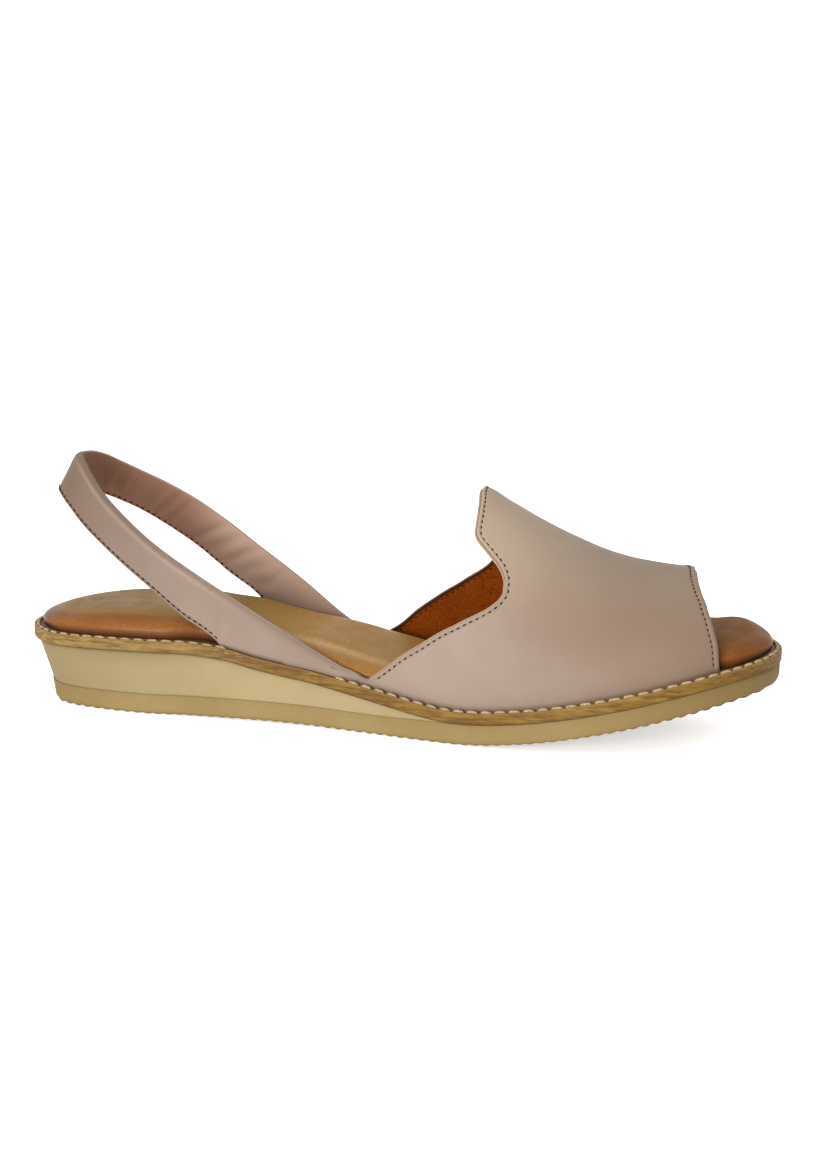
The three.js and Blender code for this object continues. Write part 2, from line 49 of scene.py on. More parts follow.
SOLE_LENGTH = 250.0
BALL_WIDTH = 85.5
TOE_TIP_SHIFT = -1.6
OUTSOLE_THICKNESS = 6.4
HEEL_WEDGE_THICKNESS = 13.3
WELT_THICKNESS = 4.1
WELT_LEDGE = 3.3
INSOLE_CROWN = 8.0
BALL_LINE_SKEW = 0.24
UPPER_WALL = 2.0
STRAP_THICKNESS = 2.2
INSTEP_HEIGHT = 77.0
TOE_OPENING_HEIGHT = 54.6
STRAP_TOP_HEIGHT = INSTEP_HEIGHT + 5.0
GAP = 0.3
WELT_TOP_INSET = 1.4
INSOLE_HEEL_INSET = 3.1
INSOLE_CLEARANCE = 1.0
INSOLE_EDGE_ROUND = 13.0
OUTSOLE_STEP = 0.3
STRAP_INSET = WELT_LEDGE + 0.2
STRAP_TAIL = 1.6

# Stretches over which a form changes: where each sets in and its run, as shares of the length
BALL_LINE = (0.42, 0.2)
TOE_EDGE = (0.9, 0.1)
WEDGE_RUN_OUT = (0.5, 0.06)
INSOLE_DRAWN_IN = (0.205, 0.055)
INSOLE_LET_OUT = (0.935, 0.03)
STRAP_HEEL = (0, 0.12)


def table(columns, *rows):
    """The rows of a table as one array for each named column."""
    return dict(zip(columns.split(), np.array(rows, float).T))


PLAN = table(
    "at half lean",
    (0.00, 0.000, -1.4),
    (0.02, 0.380, -1.0),
    (0.05, 0.565, -0.3),
    (0.10, 0.686, 0.6),
    (0.16, 0.730, 0.6),
    (0.25, 0.743, 1.2),
    (0.35, 0.766, 2.2),
    (0.45, 0.819, 2.0),
    (0.55, 0.906, 0.8),
    (0.65, 0.977, 0.2),
    (0.72, 1.000, 0.2),
    (0.78, 0.985, -0.4),
    (0.85, 0.918, -1.2),
    (0.90, 0.820, -1.5),
    (0.95, 0.622, -1.4),
    (0.98, 0.412, TOE_TIP_SHIFT),
    (1.00, 0.000, TOE_TIP_SHIFT),
)
SIDE = table(
    "at ground wedge",
    (0.000, 0.20, 0.970),
    (0.032, 0.00, 0.970),
    (0.184, 0.00, 1.030),
    (0.236, 0.40, 1.020),
    (0.264, 0.50, 0.990),
    (0.292, 0.50, 0.935),
    (0.332, 0.50, 0.770),
    (0.368, 0.50, 0.660),
    (0.408, 0.40, 0.570),
    (0.436, 0.20, 0.490),
    (0.472, 0.00, 0.375),
    (0.524, 0.00, 0.210),
    (0.560, 0.00, 0.096),
    (0.600, 0.00, 0.015),
    (0.640, 0.50, 0.000),
    (0.684, 1.75, 0.000),
    (0.724, 3.30, 0.000),
    (0.764, 5.30, 0.000),
    (0.804, 7.60, 0.000),
    (0.844, 10.10, 0.000),
    (0.880, 12.60, 0.000),
    (0.920, 15.20, 0.000),
    (0.956, 17.30, 0.000),
    (1.000, 19.40, 0.000),
)
TUCKS = table(
    "at tuck more",
    (0.000, 7.1, 2.4),
    (0.015, 6.2, 1.7),
    (0.030, 5.2, 0.9),
    (0.060, 3.7, 0.3),
    (0.100, 2.7, 0.1),
    (0.200, 2.0, 0.0),
    (0.500, 1.4, 0.0),
    (0.700, 0.9, 0.0),
    (1.000, 0.8, 0.0),
)
CROWNS = table(
    "at crown",
    (0.00, 0.62),
    (0.06, 0.82),
    (0.15, 0.95),
    (0.25, 0.95),
    (0.45, 0.84),
    (0.60, 0.80),
    (0.80, 0.88),
    (0.92, 0.97),
    (1.00, 0.70),
)
RIDGE = table(
    "at over fall",
    (0.44, 15.0, 0.00),
    (0.52, 8.0, 0.00),
    (0.60, 0.0, 0.00),
    (0.64, 0.0, 0.21),
    (0.68, 0.0, 0.445),
    (0.724, 0.0, 0.665),
    (0.768, 0.0, 0.844),
    (0.808, 0.0, 0.946),
    (0.852, 0.0, 0.99),
    (0.90, 0.0, 1.00),
    (0.96, 0.0, 1.02),
)
VAMP_EDGES = table(
    "angle rear front",
    (0.0, 0.4800, 0.9330),
    (5.2, 0.5070, 0.9320),
    (10.1, 0.5300, 0.9310),
    (14.4, 0.5520, 0.9300),
    (20.5, 0.5820, 0.9275),
    (24.8, 0.6095, 0.9250),
    (29.8, 0.6340, 0.9220),
    (33.0, 0.6460, 0.9200),
    (36.1, 0.6545, 0.9180),
    (39.2, 0.6585, 0.9155),
    (42.7, 0.6585, 0.9130),
    (46.1, 0.6545, 0.9105),
    (48.6, 0.6480, 0.9090),
    (50.3, 0.6405, 0.9075),
    (52.2, 0.6310, 0.9060),
    (54.0, 0.6210, 0.9045),
    (55.6, 0.6155, 0.9030),
    (58.0, 0.6135, 0.9010),
    (64.6, 0.6130, 0.8965),
    (74.0, 0.6110, 0.8910),
    (86.5, 0.6060, 0.8860),
    (96.0, 0.6040, 0.8820),
    (105.0, 0.5990, 0.8750),
    (113.0, 0.5945, 0.8690),
    (121.0, 0.5940, 0.8650),
    (128.0, 0.6030, 0.8630),
    (134.0, 0.6090, 0.8620),
    (139.0, 0.6100, 0.8615),
    (146.7, 0.5980, 0.8615),
    (155.2, 0.5610, 0.8630),
    (162.0, 0.5280, 0.8645),
    (169.5, 0.4930, 0.8670),
    (174.9, 0.4700, 0.8690),
    (180.0, 0.4400, 0.8700),
)
STRAP = table(
    "at innerLow innerTop outerLow outerTop lowIn topIn",
    (0.000, 0.840, 0.998, 0.840, 0.998, 7.8, 14.2),
    (0.012, 0.845, 1.008, 0.826, 0.992, 7.6, 14.0),
    (0.027, 0.833, 1.007, 0.809, 0.980, 7.3, 13.6),
    (0.048, 0.803, 0.984, 0.790, 0.960, 6.9, 12.9),
    (0.074, 0.746, 0.928, 0.760, 0.932, 6.5, 12.0),
    (0.106, 0.676, 0.850, 0.720, 0.896, 6.1, 11.0),
    (0.144, 0.593, 0.764, 0.660, 0.850, 5.7, 10.0),
    (0.185, 0.504, 0.675, 0.583, 0.788, 5.2, 9.1),
    (0.231, 0.401, 0.590, 0.472, 0.697, 4.4, 8.3),
    (0.280, 0.312, 0.507, 0.350, 0.585, 2.6, 7.4),
    (0.332, 0.000, 0.420, 0.000, 0.466, 2.2, 6.4),
    (0.386, 0.000, 0.336, 0.000, 0.330, 2.2, 5.3),
    (0.442, 0.000, 0.258, 0.000, 0.190, 2.4, 4.0),
    (0.470, 0.000, 0.222, 0.000, 0.000, 3.5, 3.5),
    (0.520, 0.000, 0.000, 0.000, 0.000, 3.5, 3.5),
)
STRAP_INNER_END = 0.505
STRAP_OUTER_END = 0.480


def table_rows(columns):
    """Each row of a table as named values."""
    for values in zip(*columns.values()):
        yield dict(zip(columns, values))


def curve(xs, ys):
    """Monotone cubic through points, as a function of an array."""
    slopes = np.diff(ys) / np.diff(xs)
    product = slopes[:-1] * slopes[1:]
    rising = product > 0
    total = np.where(rising, slopes[:-1] + slopes[1:], 1)
    tangents = np.concatenate([slopes[:1], np.where(rising, 2 * product / total, 0), slopes[-1:]])

    def value(x):
        x = np.clip(x, xs[0], xs[-1])
        i = np.clip(np.searchsorted(xs, x, side="right") - 1, 0, len(xs) - 2)
        step = xs[i + 1] - xs[i]
        t = (x - xs[i]) / step
        from_start = ys[i] * (2 * t**3 - 3 * t**2 + 1) + tangents[i] * step * (t**3 - 2 * t**2 + t)
        from_end = ys[i + 1] * (3 * t**2 - 2 * t**3) + tangents[i + 1] * step * (t**3 - t**2)
        return from_start + from_end

    return value


def mix(a, b, t):
    return a + (b - a) * t


def smooth(t):
    t = np.clip(t, 0, 1)
    return t * t * (3 - 2 * t)


def bell(value, width):
    """A soft hump of height 1 round value 0."""
    return np.exp(-((value / width) ** 2))


def unit(vectors):
    return vectors / np.maximum(np.linalg.norm(vectors, axis=-1, keepdims=True), 1e-9)


squared_half = curve(PLAN["at"], PLAN["half"] ** 2)
middle_lean = curve(PLAN["at"], PLAN["lean"])
ground_curve = curve(SIDE["at"], SIDE["ground"])
wedge_curve = curve(SIDE["at"], SIDE["wedge"])
tuck_curve = curve(TUCKS["at"], TUCKS["tuck"])
more_curve = curve(TUCKS["at"], TUCKS["more"])
crown_curve = curve(CROWNS["at"], CROWNS["crown"])
ridge_over = curve(RIDGE["at"], RIDGE["over"])
ridge_fall = curve(RIDGE["at"], RIDGE["fall"])
rear_edge = curve(VAMP_EDGES["angle"], VAMP_EDGES["rear"])
front_edge = curve(VAMP_EDGES["angle"], VAMP_EDGES["front"])
strap_curves = {name: curve(STRAP["at"], column) for name, column in STRAP.items()}


def share(x):
    return x / SOLE_LENGTH


def after(x, start, run):
    """0 up to a station, 1 from a run past it on, both as shares of the length."""
    return smooth((share(x) - start) / run)


def half_width(x):
    return BALL_WIDTH / 2 * np.sqrt(np.maximum(squared_half(share(x)), 0))


def middle(x):
    return middle_lean(share(x))


def height_by(heights):
    """Past the ball line, which runs askew, the outer side has risen further than the inner side."""

    def value(x, y):
        half = half_width(x)
        ahead = 2 * half * BALL_LINE_SKEW * after(x, *BALL_LINE)
        across = np.clip((y - middle(x) + half) / np.maximum(2 * half, 1e-6), 0, 1)
        across = np.where(half > 1, across, 0.5)
        return mix(heights(share(x)), heights(share(x + ahead)), across)

    return value


underside = height_by(ground_curve)
wedge_share = height_by(wedge_curve)


def outsole_top(x, y):
    return underside(x, y) + OUTSOLE_THICKNESS


def welt_bottom(x, y):
    return outsole_top(x, y) + GAP + wedge_share(x, y) * (HEEL_WEDGE_THICKNESS + GAP)


def welt_top(x, y):
    return welt_bottom(x, y) + WELT_THICKNESS


def rim(angle):
    """Point of the welt's rim: angle 0 at the heel, half a turn at the toe, inner side first."""
    x = SOLE_LENGTH * (1 - np.cos(angle)) / 2
    hand = np.where(np.sin(angle) >= 0, -1, 1)
    return x, middle(x) + hand * half_width(x)


def rim_inset(angle, inset, reach=0.004):
    """Point of the rim moved in square to the chord that reaches a little to either side of it."""
    x, y = rim(angle)
    before = rim(angle - reach)
    after = rim(angle + reach)
    dx = after[0] - before[0]
    dy = after[1] - before[1]
    run = np.hypot(dx, dy)
    return x - dy / run * inset, y + dx / run * inset


def angle_at(part):
    return np.arccos(1 - 2 * part)


def side_line(hand, inset):
    """The y of one side of the rim, moved in, as a function of x."""
    turns = np.linspace(0.02, math.pi - 0.02, 900)
    x, y = rim_inset(turns if hand < 0 else 2 * math.pi - turns, inset)
    order = np.argsort(x)
    return lambda at: np.interp(at, x[order], y[order])


inner_line = side_line(-1, WELT_LEDGE)
outer_line = side_line(1, WELT_LEDGE)

# The part's own centre: the solids were centred on their box
solid_angles = np.concatenate([np.linspace(0, math.pi, 61), -np.linspace(0, math.pi, 61)])
solid_rim = np.stack(rim_inset(solid_angles, 0))
welt_low, welt_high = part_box("welt")
centre_x = (solid_rim[0].min() + solid_rim[0].max()) / 2 - 500 * (welt_low.x + welt_high.x)
centre_y = (solid_rim[1].min() + solid_rim[1].max()) / 2 - 500 * (welt_low.y + welt_high.y)


def to_frame(points):
    """Millimetres of the sandal to metres of the frame."""
    return (np.asarray(points, float) - (centre_x, centre_y, 0)) / 1000


def grid_faces(rows, columns, around=False, across=False):
    """Faces between the points of a grid listed row by row, closed round the rows or columns if asked."""
    r = np.arange(rows if across else rows - 1)
    c = np.arange(columns if around else columns - 1)
    row, column = np.meshgrid(r, c, indexing="ij")
    next_row = (row + 1) % rows
    next_column = (column + 1) % columns
    corners = [row * columns + column, row * columns + next_column]
    corners += [next_row * columns + next_column, next_row * columns + column]
    return np.stack([corner.ravel() for corner in corners], axis=1)


def piece(name, points, faces, materials, marks=None, face_materials=None):
    """A smooth mesh object from points in sandal millimetres, with its marks for the materials."""
    mesh = bpy.data.meshes.new(name)
    mesh.from_pydata(to_frame(points).tolist(), [], [list(dict.fromkeys(face)) for face in faces.tolist()])
    for material in materials:
        mesh.materials.append(material)
    if face_materials is not None:
        mesh.polygons.foreach_set("material_index", np.asarray(face_materials, np.int32))
    for label, values in (marks or {}).items():
        attribute = mesh.attributes.new(label, "FLOAT", "POINT")
        attribute.data.foreach_set("value", np.asarray(values, np.float32).ravel())
    made = bmesh.new()
    made.from_mesh(mesh)
    bmesh.ops.recalc_face_normals(made, faces=made.faces)
    made.to_mesh(mesh)
    made.free()
    mesh.shade_smooth()
    item = bpy.data.objects.new(name, mesh)
    bpy.context.scene.collection.objects.link(item)
    return item


def rim_angles(steps, inner_end=1.0, outer_end=1.0):
    """Angles along the inner side and back along the outer side, up to a share of the length on each."""
    inner = np.linspace(0, angle_at(inner_end), steps + 1)
    outer = 2 * math.pi - np.linspace(0, angle_at(outer_end), steps + 1)
    last = steps - 1 if inner_end >= 1 else steps
    return np.concatenate([inner, outer[last:0:-1]])


def ring(angles, inset_at, height_at):
    x, y = rim_inset(angles, inset_at(rim(angles)[0]))
    return np.stack([x, y, height_at(x, y)], axis=1)


def stack(rings, low_height, top_height, columns):
    """A closed body of stacked rings whose two lids follow the given heights."""
    count = len(rings[0])
    points = [np.concatenate(rings)]
    faces = [grid_faces(len(rings), count, around=True)]
    total = len(points[0])
    for offset, height_at in ((0, low_height), ((len(rings) - 1) * count, top_height)):
        rows = count // 2 + 1
        near = offset + np.arange(rows)
        far = offset + (count - np.arange(rows)) % count
        grid = np.zeros((rows, columns + 1), int)
        grid[:, 0] = near
        grid[:, -1] = far
        across = np.linspace(0, 1, columns + 1)[1:-1, None]
        lid = mix(points[0][near][:, None], points[0][far][:, None], across)
        lid[..., 2] = height_at(lid[..., 0], lid[..., 1])
        points.append(lid.reshape(-1, 3))
        grid[:, 1:-1] = total + np.arange(rows * (columns - 1)).reshape(rows, columns - 1)
        total += rows * (columns - 1)
        faces.append(grid.ravel()[grid_faces(rows, columns + 1)])
    return np.concatenate(points), np.concatenate(faces)


def ring_marks(values, angles, points, inside):
    """One value for each ring's points, and another for the points inside the lids."""
    marks = np.full(len(points), float(inside))
    marks[: len(values) * len(angles)] = np.repeat(values, len(angles))
    return marks


# Materials


def colour(red, green, blue):
    """A screen colour, 0 to 255, as linear light."""
    parts = np.array([red, green, blue]) / 255
    linear = np.where(parts <= 0.04045, parts / 12.92, ((parts + 0.055) / 1.055) ** 2.4)
    return (*linear.tolist(), 1.0)


class Shade:
    """A material whose nodes are added one by one."""

    def __init__(self, name):
        self.material = bpy.data.materials.new(name)
        self.material.use_nodes = True
        self.tree = self.material.node_tree
        self.shader = self.tree.nodes["Principled BSDF"]
        self.place = self.tree.nodes.new("ShaderNodeTexCoord").outputs["Object"]

    def feed(self, socket, value):
        if isinstance(value, bpy.types.NodeSocket):
            self.tree.links.new(value, socket)
        else:
            socket.default_value = value

    def node(self, kind, inputs, **settings):
        """A new node with its settings, and its inputs fed by name or by place."""
        made = self.tree.nodes.new(kind)
        for name, value in settings.items():
            setattr(made, name, value)
        for name, value in inputs.items():
            self.feed(made.inputs[name], value)
        return made

    def stretched(self, along, across, up):
        inputs = {"Vector": self.place, "Scale": (along, across, up)}
        return self.node("ShaderNodeMapping", inputs).outputs["Vector"]

    def noise(self, size, detail=3.0, roughness=0.5, place=None, distortion=0.0):
        """Noise between 0 and 1 whose features are about size millimetres."""
        inputs = {"Vector": place or self.place, "Scale": 1000 / size, "Detail": detail}
        inputs |= {"Roughness": roughness, "Distortion": distortion}
        return self.node("ShaderNodeTexNoise", inputs).outputs["Fac"]

    def cells(self, size):
        """Rounded cells of about size millimetres."""
        inputs = {"Vector": self.place, "Scale": 1000 / size}
        return self.node("ShaderNodeTexVoronoi", inputs, feature="SMOOTH_F1").outputs["Distance"]

    def attribute(self, name):
        return self.node("ShaderNodeAttribute", {}, attribute_name=name).outputs["Fac"]

    def math(self, operation, first, second):
        return self.node("ShaderNodeMath", {0: first, 1: second}, operation=operation).outputs["Value"]

    def span(self, value, low, high, to_low=0.0, to_high=1.0):
        """Value from low to high as a smooth step from to_low to to_high."""
        inputs = {"Value": value, "From Min": low, "From Max": high, "To Min": to_low, "To Max": to_high}
        return self.node("ShaderNodeMapRange", inputs, interpolation_type="SMOOTHSTEP").outputs["Result"]

    def blend(self, factor, first, second):
        """A mix of two colours: the Mix node's sockets share their names, so they go by place."""
        return self.node("ShaderNodeMix", {0: factor, 6: first, 7: second}, data_type="RGBA").outputs[2]

    def paint(self, base, mark, tone):
        """The base with a colour laid over it where the mesh's mark says."""
        return self.blend(self.attribute(mark), base, tone)

    def relief(self, *layers):
        """Relief over relief: each layer is a pattern and about how deep it is in millimetres."""
        under = {}
        for pattern, depth in layers:
            inputs = {"Distance": depth / 1000, "Height": pattern, **under}
            under = {"Normal": self.node("ShaderNodeBump", inputs).outputs["Normal"]}
        return under["Normal"]

    def done(self, base, roughness, normal, **constants):
        """The finished material; constants are other inputs of its shader, with _ for a space."""
        self.feed(self.shader.inputs["Base Color"], base)
        self.feed(self.shader.inputs["Roughness"], roughness)
        self.tree.links.new(normal, self.shader.inputs["Normal"])
        for name, value in constants.items():
            self.shader.inputs[name.replace("_", " ")].default_value = value
        return self.material


def leather_material():
    """Smooth satin leather with a lining edge: fine grain, faint clouds, browner inside the heel strap, and
    painted light, shade and highlights laid on by its marks.
    """
    s = Shade("upper_leather")
    cloud = s.noise(30, 3, 0.5)
    base = s.blend(s.span(cloud, 0.35, 0.68), LEATHER_ROSE, LEATHER_WARM)
    # Painted light: the vamp lighter and tanner towards its top
    base = s.paint(base, "crest", LEATHER_TOP_LIT)
    # Painted shade: the front of the vamp darker
    base = s.paint(base, "front", LEATHER_FRONT_SHADE)
    # Painted shade on the heel strap's outer face, darkest round the heel
    base = s.paint(base, "shade", LEATHER_SHADE)
    # Inside the strap: browner towards the heel, and elsewhere painted lighter to stand in for light its
    # shaded face does not get
    back = s.blend(s.attribute("brown"), LEATHER_INSIDE_LIT, LEATHER_BROWN)
    base = s.paint(base, "inside", back)
    # Painted highlight along the strap's rolled top edge
    base = s.paint(base, "roll_highlight", LEATHER_ROLL_HIGHLIGHT)
    speck = s.noise(1.1, 4, 0.65)
    base = s.blend(s.span(speck, 0.3, 0.75, 0.0, 0.07), base, LEATHER_SPECK)
    lip = s.attribute("lip")
    base = s.blend(s.span(lip, 0.32, 0.42), base, EDGE_LINE)
    base = s.blend(s.span(lip, 0.52, 0.62), base, EDGE_TAN)
    # Painted shade in the strap's wrinkles and stitch groove, along the vamp's joint with the welt and on its
    # far rim
    base = s.paint(base, "crease", LEATHER_CREASE_SHADE)
    grain = s.cells(0.75)
    pores = s.noise(0.5, 4, 0.6)
    soft = s.noise(18, 2, 0.5)
    normal = s.relief((soft, 0.2), (grain, 0.03), (pores, 0.02))
    rough = s.span(s.noise(9, 3), 0.3, 0.7, 0.54, 0.62)
    return s.done(base, rough, normal, Specular_IOR_Level=0.18, Coat_Weight=0.03, Coat_Roughness=0.45)


def suede_material():
    """Napped suede lining, finely speckled, with a dark line along its folded edge."""
    s = Shade("lining_suede")
    nap = s.noise(0.7, 5, 0.75)
    patch = s.noise(9, 4, 0.6, s.stretched(0.5, 1.0, 1.0))
    base = s.blend(s.span(patch, 0.3, 0.7), SUEDE_DEEP, SUEDE_LIGHT)
    base = s.blend(s.span(nap, 0.4, 0.66, 0.0, 0.75), base, SUEDE_DARK)
    base = s.paint(base, "hem", SUEDE_HEM)
    normal = s.relief((patch, 0.25), (nap, 0.16))
    rough = s.span(nap, 0.3, 0.7, 0.85, 0.98)
    return s.done(base, rough, normal, Specular_IOR_Level=0.05)


def insole_material():
    """Burnished glazed leather: olive tan on top, orange brown down its sides, with fine creases, painted
    sheen and painted shade round its foot.
    """
    s = Shade("insole_leather")
    cloud = s.noise(20, 4, 0.55)
    side_mark = s.attribute("side")
    top = s.blend(s.span(cloud, 0.25, 0.75), INSOLE_TOP, INSOLE_TOP_DEEP)
    side = s.blend(s.span(cloud, 0.3, 0.7), INSOLE_SIDE, INSOLE_SIDE_DEEP)
    uneven = s.math("ADD", side_mark, s.math("MULTIPLY", s.math("SUBTRACT", s.noise(8, 4, 0.6), 0.5), 0.3))
    base = s.blend(s.span(uneven, 0.02, 0.85), top, side)
    # Painted sheen: lighter from the waist forward
    base = s.paint(base, "middle", INSOLE_MIDDLE_SHEEN)
    base = s.paint(base, "sheen", INSOLE_SHEEN)
    toe_mark = s.attribute("toe")
    toe = s.blend(side_mark, INSOLE_TOE, INSOLE_TOE_SIDE)
    base = s.blend(toe_mark, base, toe)
    # Painted shade round the foot of its sides and at the heel end
    base = s.paint(base, "foot", INSOLE_FOOT)
    speck = s.noise(0.8, 4, 0.75)
    base = s.blend(s.span(speck, 0.42, 0.72, 0.0, 0.45), base, INSOLE_SPECK)
    grain = s.cells(0.8)
    creases = s.noise(4.5, 5, 0.6, s.stretched(0.6, 1.0, 1.8), distortion=0.6)
    normal = s.relief((creases, 0.07), (grain, 0.04))
    rough = s.span(s.noise(7, 4), 0.3, 0.7, 0.34, 0.46)
    shine = s.math("MULTIPLY", s.span(side_mark, 0.0, 0.8, 0.02, 0.10), s.span(toe_mark, 0.0, 1.0, 1.0, 0.4))
    s.feed(s.shader.inputs["Specular IOR Level"], shine)
    return s.done(base, rough, normal)


def welt_material():
    """Stained welt: dark streaks and mottles along it, a buff top, a dark lower line, and painted shade in
    its stitch groove and on the ledge under the insole.
    """
    s = Shade("welt_leather")
    streak = s.noise(6, 5, 0.7, s.stretched(0.12, 0.3, 3.0))
    fleck = s.noise(1.3, 4, 0.7, s.stretched(0.16, 0.4, 1.6))
    base = s.blend(s.span(streak, 0.34, 0.66), WELT_OLIVE, WELT_BROWN)
    base = s.paint(base, "pale", WELT_PALE)
    base = s.blend(s.span(fleck, 0.40, 0.64, 0.0, 0.7), base, WELT_DARK)
    stained = s.math("MULTIPLY", s.attribute("stain"), s.span(s.noise(2.2, 4, 0.7), 0.3, 0.6))
    base = s.blend(stained, base, WELT_STAIN)
    base = s.paint(base, "top", WELT_BUFF)
    # Dark lower line, with painted shade in the stitch groove and on the ledge under the insole
    base = s.paint(base, "line", WELT_LINE)
    normal = s.relief((streak, 0.15), (fleck, 0.15))
    rough = s.span(streak, 0.3, 0.7, 0.55, 0.72)
    return s.done(base, rough, normal, Specular_IOR_Level=0.12)


def foam_material(name, light, dark, foot):
    """Moulded sole rubber: faint cloudiness, fine pores, a darker lower edge and painted shade at its ends
    and joints.
    """
    s = Shade(name)
    cloud = s.noise(30, 4, 0.55)
    base = s.blend(s.span(cloud, 0.3, 0.7), light, dark)
    pores = s.noise(0.8, 4, 0.7)
    base = s.blend(s.span(pores, 0.45, 0.8, 0.0, 0.14), base, foot)
    # Darker towards the lower edge, with painted shade at the heel, the toe and the joints
    base = s.paint(base, "darkening", foot)
    mould = s.noise(3.0, 4, 0.6, s.stretched(1.0, 1.0, 0.3))
    normal = s.relief((mould, 0.08), (pores, 0.06))
    rough = s.span(s.noise(6, 3), 0.3, 0.7, 0.66, 0.82)
    return s.done(base, rough, normal, Specular_IOR_Level=0.12)


def thread_material(name, light, dark, size):
    """Twisted thread: fine diagonal strands."""
    s = Shade(name)
    strands = s.noise(size, 3, 0.6, s.stretched(1.0, 1.0, 1.6))
    base = s.blend(s.span(strands, 0.3, 0.7), dark, light)
    normal = s.relief((strands, 0.1))
    rough = s.span(strands, 0.3, 0.7, 0.6, 0.8)
    return s.done(base, rough, normal, Specular_IOR_Level=0.06)


# Colours of the materials, before light falls on them; some of them are painted light and shade, as said
# where they are laid on
LEATHER_ROSE = colour(116, 100, 89)
LEATHER_WARM = colour(112, 96, 84)
LEATHER_TOP_LIT = colour(130, 114, 96)
LEATHER_FRONT_SHADE = colour(97, 80, 65)
LEATHER_INSIDE_LIT = colour(141, 116, 100)
LEATHER_BROWN = colour(104, 73, 56)
LEATHER_SHADE = colour(80, 63, 51)
LEATHER_SPECK = colour(110, 86, 70)
LEATHER_CREASE_SHADE = colour(70, 50, 38)
LEATHER_ROLL_HIGHLIGHT = colour(158, 140, 126)
EDGE_LINE = colour(56, 36, 24)
EDGE_TAN = colour(122, 102, 82)
SUEDE_DEEP = colour(94, 40, 2)
SUEDE_LIGHT = colour(112, 50, 3)
SUEDE_DARK = colour(64, 22, 1)
SUEDE_HEM = colour(44, 18, 5)
INSOLE_TOP = colour(121, 95, 50)
INSOLE_TOP_DEEP = colour(113, 85, 43)
INSOLE_MIDDLE_SHEEN = colour(136, 100, 46)
INSOLE_SHEEN = colour(158, 130, 96)
INSOLE_SIDE = colour(107, 65, 27)
INSOLE_SIDE_DEEP = colour(96, 56, 22)
INSOLE_TOE = colour(98, 63, 30)
INSOLE_TOE_SIDE = colour(94, 55, 20)
INSOLE_FOOT = colour(46, 22, 9)
INSOLE_SPECK = colour(64, 38, 17)
WELT_OLIVE = colour(104, 80, 30)
WELT_BROWN = colour(88, 62, 21)
WELT_DARK = colour(60, 37, 12)
WELT_STAIN = colour(66, 32, 14)
WELT_BUFF = colour(116, 94, 54)
WELT_PALE = colour(120, 100, 58)
WELT_LINE = colour(66, 46, 22)
WEDGE_LIGHT = colour(124, 110, 80)
WEDGE_DARK = colour(119, 105, 75)
WEDGE_FOOT = colour(98, 84, 56)
OUTSOLE_LIGHT = colour(112, 95, 60)
OUTSOLE_DARK = colour(106, 88, 55)
OUTSOLE_FOOT = colour(84, 66, 33)
DARK_THREAD = colour(40, 25, 16)
DARK_THREAD_DEEP = colour(24, 14, 8)
WELT_THREAD = colour(150, 128, 104)
WELT_THREAD_DEEP = colour(116, 92, 68)

upper_leather = leather_material()
lining_suede = suede_material()
insole_leather = insole_material()
welt_leather = welt_material()
wedge_foam = foam_material("wedge_foam", WEDGE_LIGHT, WEDGE_DARK, WEDGE_FOOT)
outsole_rubber = foam_material("outsole_rubber", OUTSOLE_LIGHT, OUTSOLE_DARK, OUTSOLE_FOOT)
dark_thread = thread_material("dark_thread", DARK_THREAD, DARK_THREAD_DEEP, 0.5)
welt_thread = thread_material("welt_thread", WELT_THREAD, WELT_THREAD_DEEP, 0.7)


# Outsole, with a ripple tread pressed up into its underside

TREAD_PITCH = 3.6
TREAD_DEPTH = 0.55
EDGE_ROUND = 0.8
TOE_EDGE_ROUND = 1.8

# Sections of the outsole's edge from the underside up: inset and rise as shares of its rounding,
# and how much of the underside's extra tuck and of the ripples is left there
SOLE_EDGE = table(
    "inset rise more ripple",
    (1.60, 0.00, 1.00, 1.0),
    (0.90, 0.10, 1.00, 1.0),
    (0.40, 0.45, 1.00, 0.9),
    (0.12, 0.95, 0.90, 0.6),
    (0.00, 1.60, 0.75, 0.2),
    (0.00, 3.00, 0.55, 0.0),
)


def tread(x):
    """Depth of the ripples at each station, 0 on their crests, with a slow change along the sole."""
    wave = 0.5 - 0.5 * np.cos(2 * math.pi * x / TREAD_PITCH)
    wear_and_shade = 0.75 + 0.25 * np.sin(x / 17.0 + 0.8)
    return TREAD_DEPTH * wave**1.4 * wear_and_shade


def tread_angles(step):
    """Rim angles whose stations stand evenly apart, so that the ripples keep their shape."""
    stations = np.linspace(0, 1, int(SOLE_LENGTH / step) + 1)
    fine = np.linspace(0, math.pi, 121)
    inner = np.unique(np.round(np.concatenate([angle_at(stations), fine]), 5))
    return np.concatenate([inner, 2 * math.pi - inner[-2:0:-1]])


